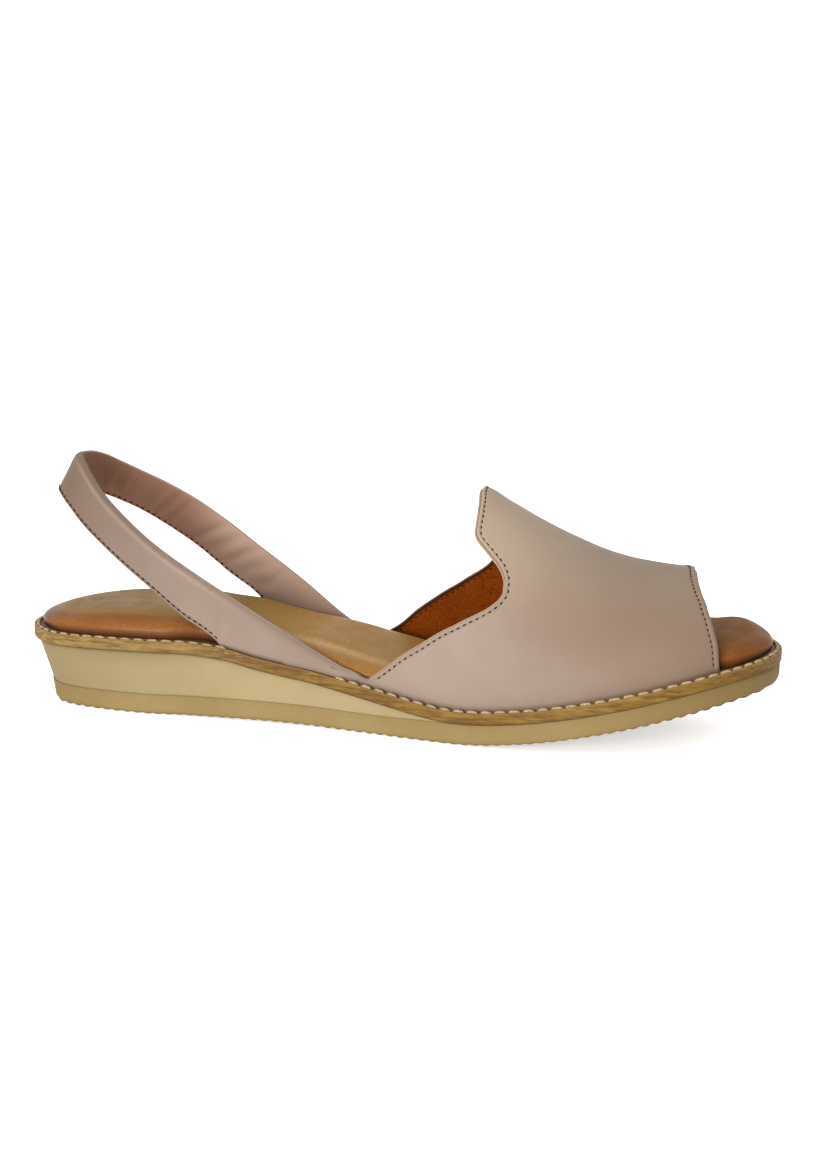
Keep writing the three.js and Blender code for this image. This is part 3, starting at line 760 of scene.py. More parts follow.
def outsole_piece():
    """Rings from the rippled underside over its rounded edge to the joint with the wedge."""
    angles = tread_angles(0.6)

    def round_at(x):
        return mix(EDGE_ROUND, TOE_EDGE_ROUND, after(x, *TOE_EDGE))

    def inset(out, more):
        return lambda x: tuck_curve(share(x)) - OUTSOLE_STEP + out * round_at(x) + more * more_curve(share(x))

    def low(rise, ripple):
        return lambda x, y: underside(x, y) + rise * round_at(x) + tread(x) * ripple

    def top(x, y):
        close = mix(0.15, GAP + 0.15, after(x, *WEDGE_RUN_OUT))
        return outsole_top(x, y) + close

    rings = []
    for row in table_rows(SOLE_EDGE):
        rings.append(ring(angles, inset(row["inset"], row["more"]), low(row["rise"], row["ripple"])))
    rings.append(ring(angles, inset(0, 0), lambda x, y: top(x, y) - 0.2))
    rings.append(ring(angles, inset(0.15, 0), top))
    points, faces = stack(rings, low(0, 1), top, 12)
    x, y, z = points.T
    above = z - underside(x, y)
    # Darker towards the lower edge; painted shade along the joint with the wedge, round the heel and at the
    # toe
    darkening = 0.5 * (1 - smooth(above / 1.6)) + 0.12 * bell(above - OUTSOLE_THICKNESS, 0.3)
    darkening += 0.35 * (1 - after(x, 0, 0.2)) + 0.6 * after(x, 0.72, 0.28)
    return piece("outsole_rippled", points, faces, [outsole_rubber], {"darkening": np.clip(darkening, 0, 1)})


# Where the wedge has run out, past the end of its solid, as shares of the length
WEDGE_INNER_END = 0.60
WEDGE_OUTER_END = 0.56
WEDGE_LEVELS = (0.0, 0.06, 0.3, 0.6, 0.9, 1.0)


def wedge_piece():
    angles = rim_angles(110, WEDGE_INNER_END, WEDGE_OUTER_END)

    def level(part):
        return lambda x, y: mix(outsole_top(x, y) + 0.05, welt_bottom(x, y) + 0.1, part)

    def inset(part):
        def value(x):
            tuck = tuck_curve(share(x))
            return mix(tuck, np.minimum(WELT_TOP_INSET, tuck), part) + 0.25 * bell(part - 1, 0.1)

        return value

    rings = [ring(angles, inset(part), level(part)) for part in WEDGE_LEVELS]
    points, faces = stack(rings, level(0), level(1), 4)
    x, y, z = points.T
    rise = (z - outsole_top(x, y)) / HEEL_WEDGE_THICKNESS
    # Painted shade along the joint with the welt and round the heel
    darkening = 0.35 * bell(rise - 1, 0.05) + 0.7 * (1 - after(x, 0, 0.36))
    return piece("wedge_moulded", points, faces, [wedge_foam], {"darkening": darkening})


# The welt's section; its line column also paints shade in the stitch groove and on the ledge under the insole
WELT_SECTION = table(
    "inset side rise top line",
    (0.70, 0, 0.00, 0.0, 0.8),
    (0.20, 0, 0.20, 0.0, 0.9),
    (0.00, 0, 0.60, 0.0, 0.3),
    (0.05, 0, 1.30, 0.0, 0.0),
    (0.00, 1, -1.30, 0.0, 0.0),
    (0.00, 1, -0.60, 0.1, 0.0),
    (0.16, 1, -0.20, 0.5, 0.0),
    (0.50, 1, -0.04, 0.8, 0.0),
    (0.75, 1, -0.25, 0.4, 0.7),
    (1.40, 1, -0.55, 0.2, 1.0),
    (2.10, 1, -0.50, 0.2, 1.0),
    (2.60, 1, -0.10, 0.6, 0.5),
    (3.30, 1, 0.00, 0.5, 0.7),
    (4.20, 1, 0.00, 0.3, 0.9),
)


def welt_piece():
    """The section swept round the shoe: side 0 heights count from its bottom, side 1 from its top."""
    angles = rim_angles(260)
    rings = []
    for row in table_rows(WELT_SECTION):
        height = welt_top if row["side"] else welt_bottom
        rings.append(ring(angles, lambda x: row["inset"] + 0 * x, lambda x, y: height(x, y) + row["rise"]))
    points, faces = stack(rings, welt_bottom, welt_top, 4)
    marks = {name: ring_marks(WELT_SECTION[name], angles, points, 0.5) for name in ("top", "line")}
    x, y, z = points.T
    beside_strap = after(x, 0.22, 0.06) * (1 - after(x, 0.42, 0.05))
    marks["pale"] = 0.55 * (1 - after(x, 0.25, 0.15))
    marks["stain"] = 0.65 * beside_strap * smooth((z - welt_bottom(x, y) - 1.6) / 2.0) * (y < 0)
    return piece("welt_stained", points, faces, [welt_leather], marks)


INSOLE_FOOT_RISE = 0.28


def insole_inset(x):
    """Wide at the heel, drawn in beside the upper, and wide again in the toe's opening."""
    beside = STRAP_INSET + STRAP_THICKNESS + INSOLE_CLEARANCE
    drawn = after(x, *INSOLE_DRAWN_IN) - after(x, *INSOLE_LET_OUT)
    return mix(INSOLE_HEEL_INSET, beside, drawn)


def insole_piece():
    """Domed footbed: rings from its foot over the rounded side, with a lid that carries on the crown."""
    angles = rim_angles(220)
    turns = np.radians(np.linspace(0, 90, 19))

    def crown(x):
        return INSOLE_CROWN * crown_curve(share(x))

    def creased(x, y):
        """Low waves near the sides."""
        wave = np.sin(x / 3.7 + 1.3 * np.sin(x / 11)) * np.sin(x / 9.1 + 0.6)
        side = smooth(np.abs(y - middle(x)) / np.maximum(half_width(x), 1) * 1.6 - 0.6)
        return 0.16 * wave * side

    rings = [
        ring(angles, lambda x: insole_inset(x) + 0.7, lambda x, y: welt_top(x, y) - 0.3),
        ring(angles, lambda x: insole_inset(x) + 0.25, lambda x, y: welt_top(x, y) + 0.5),
    ]
    sides = [1.0, 1.0]
    feet = [1.0, 0.8]
    sheens = [0.0, 0.0]
    for turn in turns:
        inward = INSOLE_EDGE_ROUND * (1 - math.cos(turn))
        rise = mix(INSOLE_FOOT_RISE, 1, math.sin(turn))

        def height(x, y, rise=rise):
            return welt_top(x, y) + GAP + rise * crown(x) + creased(x, y) * rise

        rings.append(ring(angles, lambda x: insole_inset(x) + inward, height))
        sides.append(1 - smooth((inward - 2.0) / 6.5))
        feet.append(0.35 * (1 - smooth((rise - INSOLE_FOOT_RISE) / 0.12)))
        sheens.append(bell(inward - 7.0, 2.2))

    def lid(x, y):
        return welt_top(x, y) + GAP + crown(x) + creased(x, y)

    points, faces = stack(rings, lambda x, y: welt_top(x, y) - 0.3, lid, 24)
    side, foot, sheen = (ring_marks(values, angles, points, 0) for values in (sides, feet, sheens))
    x = points[:, 0]
    marks = {
        "side": side,
        # foot: painted shade at the base of the sides and round the heel end
        "foot": np.clip(foot + 0.6 * side * (1 - after(x, 0, 0.07)), 0, 1),
        "toe": after(x, 0.82, 0.1),
        # middle: painted sheen, lighter from the waist forward, less down the sides
        "middle": 0.85 * after(x, 0.26, 0.12) * (1 - 0.5 * side),
        "sheen": sheen * 0.6 * bell(share(x) - 0.43, 0.11),
    }
    return piece("insole_padded", points, faces, [insole_leather], marks)


# Vamp

VAMP_COLUMNS = 240
VAMP_MIDDLE_ROWS = 40
EDGE_ROWS = np.array([0.0, 0.2, 0.45, 0.7, 0.9, 1.1, 1.3, 1.5, 1.8, 2.2, 2.7, 3.2, 4.0, 5.5])
STITCH_MARGINS = {"rear": 1.1, "front": 1.7}
STRAP_STITCH_MARGIN = 1.1
VAMP_FOOT = 0.7
HEM_RISE = 0.22
STITCH_SINK = 0.28
GROOVE_WIDTH = 0.3

# The vamp's edge from its outer face inwards: reach past the edge in mm, depth as a share of the wall,
# and how far the mark has come from leather (0) over the brown line (about 0.45) to the lining (1)
EDGE_PROFILE = table(
    "reach depth lip",
    (0.06, 0.05, 0.00),
    (0.14, 0.18, 0.10),
    (0.12, 0.36, 0.30),
    (0.04, 0.48, 0.45),
    (0.26, 0.51, 0.60),
    (0.60, 0.56, 1.00),
    (0.74, 0.74, 1.00),
    (0.64, 0.92, 1.00),
    (0.34, 0.99, 1.00),
)

# Rows of each folded edge that stay leather before the lining begins
LIP_PEAK = 7

# Soft hollows and ridges of the vamp, placed by the angle round the foot and the share of the length
VAMP_FOLDS = table(
    "angle at angleWide atWide depth",
    (34, 0.735, 16, 0.060, 0.9),
    (24, 0.600, 10, 0.035, -0.5),
    (58, 0.690, 12, 0.030, -0.5),
    (30, 0.860, 14, 0.040, -0.4),
    (140, 0.720, 18, 0.060, 0.8),
    (118, 0.820, 14, 0.040, -0.5),
)


def ridge_height(x):
    return mix(INSTEP_HEIGHT, TOE_OPENING_HEIGHT, ridge_fall(share(x))) + ridge_over(share(x))


def vamp_point(angle, along):
    x = SOLE_LENGTH * mix(rear_edge(angle), front_edge(angle), along)
    inner = inner_line(x)
    outer = outer_line(x)
    turn = np.radians(angle)
    y = (inner + outer) / 2 - (outer - inner) / 2 * np.cos(turn)
    low = welt_top(x, y) + GAP
    return np.stack([x, y, low + (ridge_height(x) - low) * np.sin(turn)], axis=-1)


def vamp_frame(angle, along):
    """The outer face's normal and its two directions, round the foot and towards the toe."""
    turn = np.clip(angle, 0.5, 179.5)
    row = np.clip(along, 0.01, 0.99)
    across = vamp_point(turn + 0.5, row) - vamp_point(turn - 0.5, row)
    lengthways = vamp_point(turn, row + 0.01) - vamp_point(turn, row - 0.01)
    return unit(np.cross(lengthways, across)), unit(across), unit(lengthways)


def fold_depth(angle, x):
    total = np.zeros(np.broadcast(angle, x).shape)
    for row in table_rows(VAMP_FOLDS):
        round_foot = bell(angle - row["angle"], row["angleWide"])
        total += row["depth"] * round_foot * bell(share(x) - row["at"], row["atWide"])
    return total


def vamp_length(angle):
    lines = vamp_point(angle[None, :], np.linspace(0, 1, 25)[:, None])
    return np.linalg.norm(np.diff(lines, axis=0), axis=2).sum(axis=0)


def edge_slant(edge, angle, end):
    """How squarely the vamp's length meets its edge, at 1 where they are square."""
    tangent = unit(np.gradient(edge, axis=0))
    _, _, lengthways = vamp_frame(angle, end)
    return np.clip(np.linalg.norm(np.cross(tangent, lengthways), axis=1), 0.4, 1)


def vamp_grid():
    """Angle and place along the vamp of every row and column, with rows at fixed distances from the edges."""
    angle = np.linspace(0, 180, VAMP_COLUMNS + 1)
    length = vamp_length(angle)
    rows = []
    for end in (0.0, 1.0):
        rows.append(EDGE_ROWS[:, None] / edge_slant(vamp_point(angle, end), angle, end) / length)
    rear, front = rows
    between = np.linspace(0, 1, VAMP_MIDDLE_ROWS + 2)[1:-1, None]
    inside = mix(rear[-1], 1 - front[-1], between)
    along = np.concatenate([rear, inside, 1 - front[::-1]])
    return np.broadcast_to(angle, along.shape), along


def distance_to(points, line):
    """Least distance from each point to a polyline's points."""
    flat = points.reshape(-1, 3)
    least = np.full(len(flat), 1e9)
    for start in range(0, len(flat), 4000):
        part = flat[start : start + 4000]
        least[start : start + 4000] = np.linalg.norm(part[:, None] - line[None], axis=2).min(axis=1)
    return least.reshape(points.shape[:-1])


def vamp_surface(angle, along, depth=0.0):
    """Points of the vamp's leather at some depth under its outer face."""
    point = vamp_point(angle, along)
    normal, _, _ = vamp_frame(angle, along)
    upright = (angle <= 0) | (angle >= 180)
    normal[..., 2] = np.where(upright, 0, normal[..., 2])
    sink = depth + fold_depth(angle, point[..., 0])
    return point - unit(normal) * np.asarray(sink)[..., None], unit(normal)


def with_feet(values):
    """The first and last column once more, for the feet that reach down into the joint at the welt."""
    return np.concatenate([values[:, :1], values, values[:, -1:]], axis=1)


def vamp_piece():
    """Leather outside and lining inside, joined over both folded edges, with the stitched hems' relief."""
    angle, along = vamp_grid()
    outer, normal = vamp_surface(angle, along)
    dense = np.linspace(0, 180, 721)
    edges = [vamp_surface(dense, np.full(len(dense), end))[0] for end in (0.0, 1.0)]
    margins = [distance_to(outer, edge) for edge in edges]
    margin = np.minimum(*margins)
    hem = 0
    groove = 0
    for gap, stitch_margin in zip(margins, STITCH_MARGINS.values()):
        hem += HEM_RISE * np.sin(math.pi * np.clip(gap / stitch_margin, 0, 1))
        groove += STITCH_SINK * bell(gap - stitch_margin, GROOVE_WIDTH)
    fade = smooth(angle / 4) * smooth((180 - angle) / 4)
    outer = outer + normal * ((hem - groove) * fade)[..., None]
    inner, _ = vamp_surface(angle, along, UPPER_WALL)

    def rounded(row, step):
        """The folded edge from the outer to the inner face at one end."""
        tangent = unit(np.gradient(outer[row], axis=0))
        away = unit(np.cross(tangent, normal[row]))
        towards_middle = outer[row + step] - outer[row]
        away *= -np.sign((away * towards_middle).sum(axis=1, keepdims=True))
        rows = []
        for point in table_rows(EDGE_PROFILE):
            rows.append(mix(outer[row], inner[row], point["depth"]) + away * point["reach"])
        return np.array(rows)

    layers = np.concatenate([outer, rounded(-1, -1), inner[::-1], rounded(0, 1)[::-1]])
    profile = EDGE_PROFILE["lip"][:, None] * np.ones((1, len(normal[0])))
    lip = np.concatenate([0 * margin, 0.3 * profile, 1 + 0 * margin, profile[::-1]])
    folded = 1 - smooth((margin[::-1] - 0.4) / 0.4)
    hem_mark = np.concatenate([0 * margin, 1 + 0 * profile, folded, 1 + 0 * profile])
    layers = with_feet(layers)
    layers[:, [0, -1], 2] -= VAMP_FOOT
    rows, columns = layers.shape[:2]
    faces = grid_faces(rows, columns, across=True)
    lined = np.zeros(rows, bool)
    lined[len(outer) + LIP_PEAK : rows - LIP_PEAK - 2] = True
    face_row = np.repeat(np.arange(rows), columns - 1)
    x, y, z = np.moveaxis(layers, -1, 0)
    # crest: painted light, the vamp lighter towards its top
    crest = smooth((z / INSTEP_HEIGHT - 0.45) / 0.45)
    # front: painted shade, darker towards the toe and less so on the top
    front = after(x, 0.55, 0.30) * (1 - 0.5 * crest)
    lip = with_feet(lip)
    # Painted shade along the joint with the welt and on the far side's folded rim
    at_welt = 0.55 * (1 - smooth((z - welt_top(x, y) - 0.2) / 1.5))
    shaded_rim = 0.85 * (lip > 0.3) * smooth((with_feet(angle[:1]) - 100) / 20)
    crease = np.maximum(at_welt, shaded_rim)
    marks = {"lip": lip, "hem": with_feet(hem_mark), "crest": crest, "front": front, "crease": crease}
    points = layers.reshape(-1, 3)
    return piece("upper_vamp", points, faces, [upper_leather, lining_suede], marks, lined[face_row])


# Heel strap

STRAP_STEPS = 420
STRAP_REACH = 0.2
STRAP_LOW_ROWS = np.array([0.7, 0.8, 0.9, 1.0, 1.15, 1.3, 1.5, 1.8, 2.4, 3.2, 4.2])
STRAP_TOP_ROWS = np.array([3.4, 2.6, 2.0, 1.5, 1.1, 0.75, 0.45, 0.2, 0.0])
STRAP_MIDDLE_ROWS = 16
STRAP_CROWN = 0.3
STRAP_HEEL_HOLLOW = 0.3
STRAP_FULL_WIDTH = 10
STRAP_SOFT_END = 2.4

# The strap's upper edge is rolled over: how far down its face the roll reaches and how deep it turns in
ROLL_REACH = 3.2
ROLL_DEPTH = 0.9
STRAP_EDGE_REACH = 0.7
STRAP_GROOVE = 0.22
EDGE_TURNS = np.radians([12, 28, 42, 58, 75, 90, 105, 122, 138, 152, 168])
EDGE_SQUARENESS = 0.6

# Wrinkles inside the outer strand: station, lean towards the toe per mm of height, width, depth
STRAP_WRINKLES = table(
    "at lean wide depth",
    (0.044, 0.40, 1.2, 0.16),
    (0.074, 0.50, 1.4, 0.22),
    (0.092, 0.50, 1.2, 0.18),
    (0.134, 0.60, 1.3, 0.22),
    (0.150, 0.70, 1.3, 0.30),
    (0.166, 0.70, 1.4, 0.20),
    (0.206, 0.80, 1.4, 0.34),
    (0.226, 0.80, 1.7, 0.24),
    (0.248, 0.80, 1.4, 0.36),
    (0.266, 0.80, 1.6, 0.18),
    (0.288, 0.70, 1.4, 0.26),
)


def strap_lines(turn):
    """Low and top points of the strap's outer face at signed rim angles, and its inward direction."""
    at = share(rim(np.abs(turn))[0])
    near = turn >= 0
    angle = np.where(near, turn, 2 * math.pi + turn)
    low_xy = rim_inset(angle, strap_curves["lowIn"](at), STRAP_REACH)
    top_xy = rim_inset(angle, strap_curves["topIn"](at), STRAP_REACH)
    floor = welt_top(*low_xy) + GAP
    low_share = np.where(near, strap_curves["innerLow"](at), strap_curves["outerLow"](at))
    top_share = np.where(near, strap_curves["innerTop"](at), strap_curves["outerTop"](at))
    low_z = np.maximum(low_share * STRAP_TOP_HEIGHT, floor)
    top_z = np.maximum(top_share * STRAP_TOP_HEIGHT, floor + STRAP_TAIL)
    low = np.stack([*low_xy, low_z], axis=-1)
    top = np.stack([*top_xy, top_z], axis=-1)
    in_xy = np.stack(rim_inset(angle, 1.0, STRAP_REACH), axis=-1) - np.stack(rim(angle), axis=-1)
    inward = np.concatenate([in_xy, np.zeros((len(turn), 1))], axis=1)
    up = unit(top - low)
    thick = unit(inward - up * (inward * up).sum(axis=1, keepdims=True))
    grounded = (low_z - floor) < 0.01
    return low, top, up, thick, grounded


def strap_turns(count):
    return np.linspace(angle_at(STRAP_INNER_END), -angle_at(STRAP_OUTER_END), count)


def wrinkle_depth(points, middle_height, turn):
    total = np.zeros(points.shape[:-1])
    for row in table_rows(STRAP_WRINKLES):
        place = points[..., 0] - row["at"] * SOLE_LENGTH - row["lean"] * (points[..., 2] - middle_height)
        wave = bell(place, row["wide"]) - 0.5 * bell(place - 1.8 * row["wide"], row["wide"])
        total += np.where(turn < 0, row["depth"] * wave, 0)
    return total


def strap_piece():
    """One band round the heel: rows up its outer face, over the rolled top, down inside and under."""
    turn = strap_turns(STRAP_STEPS + 1)
    low, top, up, thick, grounded = strap_lines(turn)
    width = np.linalg.norm(top - low, axis=1)
    edge = np.minimum(STRAP_EDGE_REACH, 0.3 * width)
    narrow = np.minimum(1, width / STRAP_FULL_WIDTH)
    low_rows = edge + (STRAP_LOW_ROWS[:, None] - STRAP_LOW_ROWS[0]) * narrow
    top_rows = width - edge - STRAP_TOP_ROWS[:, None] * narrow
    between = np.linspace(0, 1, STRAP_MIDDLE_ROWS + 2)[1:-1, None]
    rows = np.concatenate([low_rows, mix(low_rows[-1], top_rows[0], between), top_rows])
    part = rows / width
    face = low[None] + up[None] * rows[..., None]
    soft_end = smooth(rows / STRAP_SOFT_END) * smooth((width - rows) / STRAP_SOFT_END)
    belly = mix(-STRAP_HEEL_HOLLOW, STRAP_CROWN, after(low[:, 0], *STRAP_HEEL))
    crown = belly * np.sin(math.pi * part) ** 0.6 * soft_end
    lifted = smooth((low[:, 2] - welt_top(low[:, 0], low[:, 1]) - GAP) / 4)
    groove = STRAP_GROOVE * bell(rows - STRAP_STITCH_MARGIN, GROOVE_WIDTH) * lifted
    folds = wrinkle_depth(face, (low + top)[:, 2] / 2, turn) * np.sin(math.pi * part) ** 0.7
    to_edge = np.clip((width - edge - rows) / (ROLL_REACH * narrow), 0, 1)
    roll = ROLL_DEPTH * narrow * (1 - np.sqrt(1 - (1 - to_edge) ** 2))
    outer = face + thick[None] * (groove - crown + roll)[..., None]
    inner = face + thick[None] * (STRAP_THICKNESS + crown * 0.5 - groove * 0.8 - folds)[..., None]

    def rounded(outer_row, inner_row, direction):
        """The strap's edge turned from the outer to the inner face, squarer than a half circle."""
        middle_point = (outer_row + inner_row) / 2
        half = (outer_row - inner_row) / 2
        reach = direction * edge[:, None]
        turned = []
        for angle in EDGE_TURNS:
            across = math.copysign(abs(math.cos(angle)) ** EDGE_SQUARENESS, math.cos(angle))
            turned.append(middle_point + half * across + reach * math.sin(angle) ** EDGE_SQUARENESS)
        return np.array(turned)

    over = rounded(outer[-1], inner[-1], up)
    under = rounded(outer[0], inner[0], -up)
    layers = np.concatenate([outer, over, inner[::-1], under[::-1]])
    floor = welt_top(layers[..., 0], layers[..., 1])
    near_floor = layers[..., 2] < floor + GAP + 0.6
    layers[..., 2] = np.where(near_floor & grounded[None, :], floor - 0.5, layers[..., 2])
    inside, crease, roll_highlight = np.zeros((3, *layers.shape[:2]))
    first = len(outer) + len(EDGE_TURNS)
    last = first + len(inner)
    # inside: the strap's inner face, painted lighter than the outer leather
    inside[first - 2 : last + 2] = np.where(turn < angle_at(0.04), 1, 0.35)
    # Painted shade in the wrinkles inside and in the stitch groove outside
    crease[first:last] = np.clip(folds[::-1] * 0.9, 0, 0.35)
    crease[: len(outer)] = 0.6 * bell(rows - STRAP_STITCH_MARGIN, GROOVE_WIDTH) * lifted
    faces = grid_faces(len(layers), len(turn), across=True)
    x = layers[..., 0]
    # Painted shade on the strap's outer face: the near strand darkening towards the heel, the far strand only
    # at it
    wear_and_shade = np.where(turn >= 0, 1 - 0.70 * after(x, 0, 0.30), 0.55 * (1 - after(x, 0, 0.1)))
    brown = 1 - after(x, 0.16, 0.11)
    bare = after(low[:, 0], 0.02, 0.08) * (1 - after(low[:, 0], 0.22, 0.12))
    # Painted highlight just under the strap's rolled top edge, away from its ends
    roll_highlight[: len(outer)] = 0.22 * bell(width - edge - rows - 2.0, 0.7) * bare
    shade = wear_and_shade * (inside == 0)
    marks = {"inside": inside, "brown": brown, "crease": crease, "shade": shade, "roll_highlight": roll_highlight}
    return piece("upper_heel_strap", layers.reshape(-1, 3), faces, [upper_leather], marks)


# Stitches: every row is one joined mesh of small rounded lengths of thread

STITCH_RINGS = 7
STITCH_SIDES = 8
STITCH_TILT = 0.06
DARK_THREAD_HALF = 0.28
VAMP_STITCH_PITCHES = {"rear": 2.25, "front": 1.8}
VAMP_STITCH_HALF = 0.56
STRAP_STITCH_PITCH = 2.2
STRAP_STITCH_HALF = 0.66
STRAP_STITCH_RISE = 0.30
WELT_STITCH_PITCH = 4.6
WELT_STITCH_INSET = 1.4
WELT_STITCH_HALF = 1.95
WELT_STITCH_SLANT = 0.08
WELT_THREAD_HALF = 0.75


def stitch_mesh(name, seam_parts, sizes, material):
    """Rounded lengths of thread along a seam; the sizes are half their length, width and height."""
    centres, along, up = seam_parts
    half_length, half_thread, half_height = sizes
    along = unit(along)
    up = unit(up - along * (along * up).sum(axis=1, keepdims=True))
    side = np.cross(along, up)
    place = np.linspace(-1, 1, STITCH_RINGS)
    swell = np.sqrt(np.maximum(1 - np.abs(place) ** 3.2, 0.02))
    turn = np.linspace(0, 2 * math.pi, STITCH_SIDES, endpoint=False)
    count = len(centres)
    half_length = np.broadcast_to(half_length, count)[:, None, None, None]
    half_height = np.broadcast_to(half_height, count)[:, None, None, None]
    place = place[:, None, None]
    swell = swell[:, None, None]
    across = np.cos(turn)[:, None] * half_thread * swell
    rise = np.sin(turn)[:, None] * half_height * swell
    bow = -0.35 * half_height * place**2
    points = centres[:, None, None] + along[:, None, None] * half_length * place
    points = points + side[:, None, None] * across + up[:, None, None] * (rise + bow)
    single = grid_faces(STITCH_RINGS, STITCH_SIDES, around=True)
    per = STITCH_RINGS * STITCH_SIDES
    faces = (single[None] + (np.arange(count) * per)[:, None, None]).reshape(-1, 4)
    for cap in (0, per - STITCH_SIDES):
        end = cap + np.arange(STITCH_SIDES)[None] + (np.arange(count) * per)[:, None]
        fan = [end[:, [0, k, k + 1, k + 1]] for k in range(1, STITCH_SIDES - 1)]
        faces = np.concatenate([faces, *fan])
    return piece(name, points.reshape(-1, 3), faces, [material])


def spaced(points, pitch, start):
    """Places along a polyline at an even pitch, as fractional indices into it."""
    steps = np.linalg.norm(np.diff(points, axis=0), axis=1)
    run = np.concatenate([[0], np.cumsum(steps)])
    count = int((run[-1] - 2 * start) / pitch)
    wanted = start + (np.arange(count) + 0.5) * (run[-1] - 2 * start) / count
    return np.interp(wanted, run, np.arange(len(points)))


def seam(line, upward, pitch, start=0.0):
    """Centres, directions and upright directions of stitches evenly spaced along a line."""
    places = spaced(line, pitch, start)
    index = np.arange(len(line))
    found = []
    for values in (line, np.gradient(line, axis=0), upward):
        found.append(np.stack([np.interp(places, index, column) for column in values.T], axis=1))
    return found


def joined(seams):
    """Several seams as one, with the stitches' directions as unit vectors."""
    centres, directions, ups = (np.concatenate(values) for values in zip(*seams))
    return centres, unit(directions), ups


def vamp_stitches():
    """Dark stitches just inside both edges of the vamp, on its outer face and through to the lining."""
    rng = np.random.default_rng(11)
    angle = np.linspace(1.5, 178.5, 900)
    seams = []
    for name, end in (("rear", 0.0), ("front", 1.0)):
        edge, _ = vamp_surface(angle, np.full(len(angle), end))
        slant = edge_slant(edge, angle, np.full(len(angle), end))
        along = np.abs(end - STITCH_MARGINS[name] / slant / vamp_length(angle))
        for depth, facing in ((STITCH_SINK - 0.1, 1), (UPPER_WALL, -1)):
            line, normal = vamp_surface(angle, along, depth)
            seams.append(seam(line, normal * facing, VAMP_STITCH_PITCHES[name], 1.0))
    centres, directions, ups = joined(seams)
    directions = directions + rng.normal(0, STITCH_TILT, (len(centres), 3))
    length = VAMP_STITCH_HALF + rng.normal(0, 0.04, len(centres))
    sizes = (length, DARK_THREAD_HALF, DARK_THREAD_HALF)
    return stitch_mesh("vamp_stitches", (centres, directions, ups), sizes, dark_thread)


def strap_stitches():
    """Dark stitches above the strap's lower edge, on both its faces."""
    rng = np.random.default_rng(23)
    turn = strap_turns(1600)
    low, top, up, thick, grounded = strap_lines(turn)
    free = ~grounded
    first = int(np.argmax(free))
    last = len(free) - int(np.argmax(free[::-1]))
    seams = []
    for depth, facing in ((0.10, -1), (STRAP_THICKNESS - 0.1, 1)):
        line = low + up * STRAP_STITCH_MARGIN + thick * depth
        seams.append(seam(line[first:last], (thick * facing)[first:last], STRAP_STITCH_PITCH, 0.5))
    centres, directions, ups = joined(seams)
    directions = directions + rng.normal(0, STITCH_TILT, (len(centres), 3))
    length = STRAP_STITCH_HALF + rng.normal(0, 0.05, len(centres))
    sizes = (length, DARK_THREAD_HALF, STRAP_STITCH_RISE)
    return stitch_mesh("strap_stitches", (centres, directions, ups), sizes, dark_thread)


# Share of the length beside the inner strap where the welt's stitches are worn away
WORN_FROM = 0.292
WORN_TO = 0.435

# Half the height of the welt's stitches by share of the length: lower round the heel
STITCH_HEIGHTS = table(
    "at height",
    (0.00, 0.42),
    (0.40, 0.42),
    (0.50, 0.58),
    (0.80, 0.55),
    (1.00, 0.50),
)


def welt_stitches():
    """Pale stitches in the welt's groove, lying slightly askew and missing beside the inner strap."""
    rng = np.random.default_rng(5)
    angle = np.linspace(0, 2 * math.pi, 3601)
    x, y = rim_inset(angle, WELT_STITCH_INSET + 0 * angle)
    line = np.stack([x, y, welt_top(x, y)], axis=1)
    upright = np.tile([0, 0, 1.0], (len(line), 1))
    stitches = seam(line, upright, WELT_STITCH_PITCH)
    station = share(stitches[0][:, 0])
    wear_and_shade = (station > WORN_FROM) & (station < WORN_TO) & (stitches[0][:, 1] < 0)
    centres, direction, ups = (values[~wear_and_shade] for values in stitches)
    direction = unit(direction)
    height = curve(STITCH_HEIGHTS["at"], STITCH_HEIGHTS["height"])(share(centres[:, 0]))
    count = len(centres)
    low = STITCH_HEIGHTS["height"].min()
    centres[:, 2] += 0.4 * (height - low) + rng.normal(0, 0.03, count)
    inward = np.cross(ups, direction)
    direction = direction - inward * (WELT_STITCH_SLANT + rng.normal(0, 0.03, count))[:, None]
    length = WELT_STITCH_HALF + rng.normal(0, 0.08, count)
    height = height + rng.normal(0, 0.03, count)
    sizes = (length, WELT_THREAD_HALF, height)
    return stitch_mesh("welt_stitches", (centres, direction, ups), sizes, welt_thread)


# Assembly

PIECES = {
    "outsole": [outsole_piece()],
    "wedge": [wedge_piece()],
    "welt": [welt_piece()],
    "insole": [insole_piece()],
    "upper": [vamp_piece(), strap_piece()],
}
for node, items in PIECES.items():
    for item in items:
        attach(item, "root")
        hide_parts(node)
for item in (vamp_stitches(), strap_stitches(), welt_stitches()):
    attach(item, "root")

# Floor, light and camera

FLOOR_REACH = 12.0
FLOOR_GLOW = 0.45
WORLD_STRENGTH = 1.3

floor_shade = Shade("studio_floor")
floor_tone = floor_shade.blend(floor_shade.noise(60, 2), (0.96, 0.96, 0.96, 1), (0.94, 0.94, 0.94, 1))
floor_bump = floor_shade.relief((floor_shade.noise(2, 3), 0.02))
floor_shade.done(floor_tone, 0.9, floor_bump, Emission_Color=(1, 1, 1, 1), Emission_Strength=FLOOR_GLOW)
floor_mesh = bpy.data.meshes.new("floor")
corners = [(x * FLOOR_REACH, y * FLOOR_REACH, 0) for x, y in ((-1, -1), (1, -1), (1, 1), (-1, 1))]
floor_mesh.from_pydata(corners, [], [(0, 1, 2, 3)])
floor_mesh.materials.append(floor_shade.material)
floor = bpy.data.objects.new("floor", floor_mesh)
bpy.context.scene.collection.objects.link(floor)

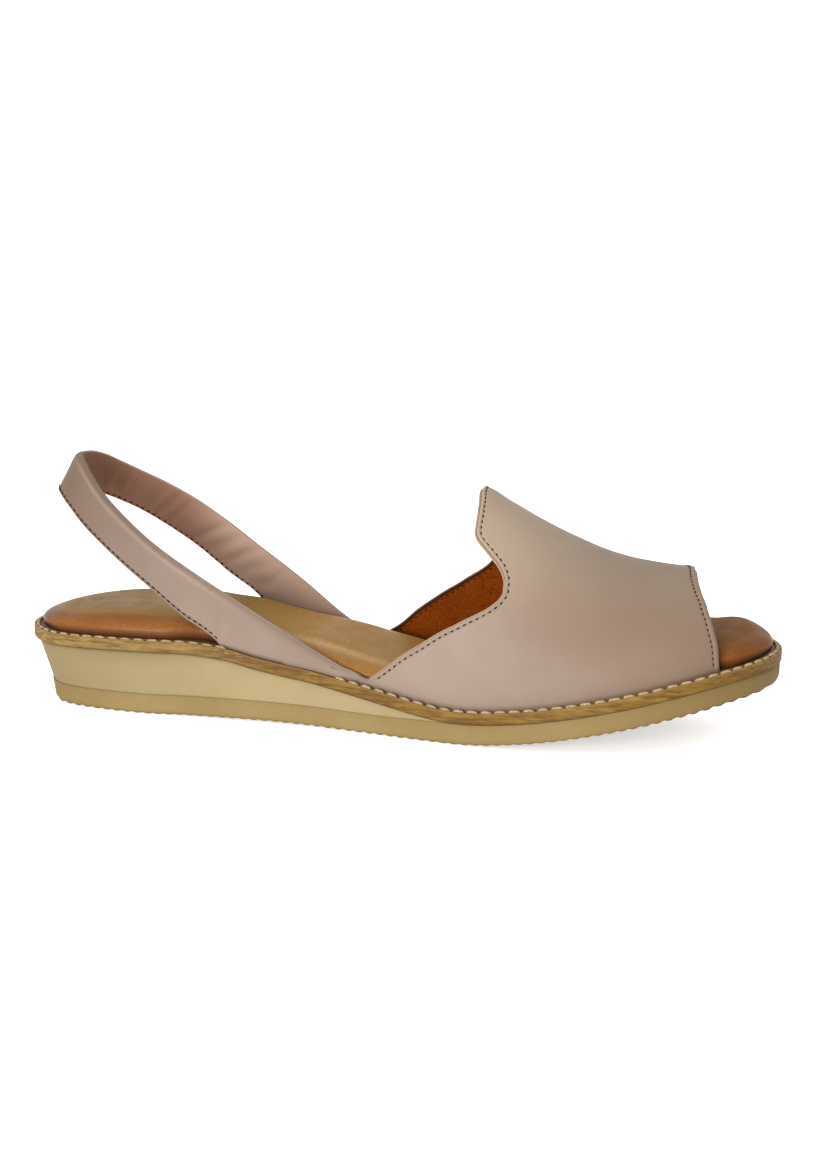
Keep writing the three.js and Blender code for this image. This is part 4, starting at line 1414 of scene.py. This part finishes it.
world = bpy.data.worlds.new("studio")
world.use_nodes = True
background = world.node_tree.nodes["Background"]
background.inputs["Color"].default_value = (1, 1, 1, 1)
background.inputs["Strength"].default_value = WORLD_STRENGTH
bpy.context.scene.world = world
bpy.context.scene.view_settings.view_transform = "Standard"
bpy.context.scene.view_settings.look = "None"


def soft_light(name, place, aim, size, power):
    light = bpy.data.lights.new(name, "AREA")
    light.shape = "RECTANGLE"
    light.size = size[0]
    light.size_y = size[1]
    light.energy = power
    item = bpy.data.objects.new(name, light)
    item.location = place
    item.rotation_euler = (Vector(aim) - Vector(place)).to_track_quat("-Z", "Y").to_euler()
    bpy.context.scene.collection.objects.link(item)


soft_light("key", (-0.5, -2.0, 0.35), (0, 0, 0.03), (1.2, 0.7), 62)
soft_light("top", (0.2, 0.3, 1.8), (0, 0, 0.03), (1.8, 1.4), 8)

PHOTO_WIDTH = 815
PHOTO_HEIGHT = 1164
AZIMUTH = math.radians(12.5)
ELEVATION = math.radians(12.5)
ROLL = math.radians(1.3)
DISTANCE = 1.0
PIXELS_PER_METRE = 3032
AIM = to_frame((125, 0, 15))
AIM_IN_PHOTO = (400.5, 667.6)

right = np.array([math.cos(AZIMUTH), math.sin(AZIMUTH), 0])
level = np.array([-math.sin(AZIMUTH), math.cos(AZIMUTH), 0])
forward = math.cos(ELEVATION) * level - math.sin(ELEVATION) * np.array([0, 0, 1])
upward = math.sin(ELEVATION) * level + math.cos(ELEVATION) * np.array([0, 0, 1])
rolled_right = math.cos(ROLL) * right + math.sin(ROLL) * upward
rolled_up = -math.sin(ROLL) * right + math.cos(ROLL) * upward
focal_pixels = PIXELS_PER_METRE * DISTANCE
shift_right = PHOTO_WIDTH / 2 - AIM_IN_PHOTO[0]
shift_up = AIM_IN_PHOTO[1] - PHOTO_HEIGHT / 2
ahead = unit(forward + (shift_right * rolled_right + shift_up * rolled_up) / focal_pixels)
across = unit(rolled_right - ahead * (rolled_right @ ahead))
over = np.cross(across, ahead)
lens = bpy.data.cameras.new("camera")
lens.sensor_width = 36
lens.lens = focal_pixels * lens.sensor_width / PHOTO_HEIGHT
lens.clip_start = 0.05
lens.clip_end = 50
camera = bpy.data.objects.new("camera", lens)
camera.matrix_world = Matrix(
    [[*row, place] for row, place in zip(np.stack([across, over, -ahead], axis=1), AIM - forward * DISTANCE)]
    + [[0, 0, 0, 1]]
)
bpy.context.scene.collection.objects.link(camera)
bpy.context.scene.camera = camera

bpy.context.view_layer.update()
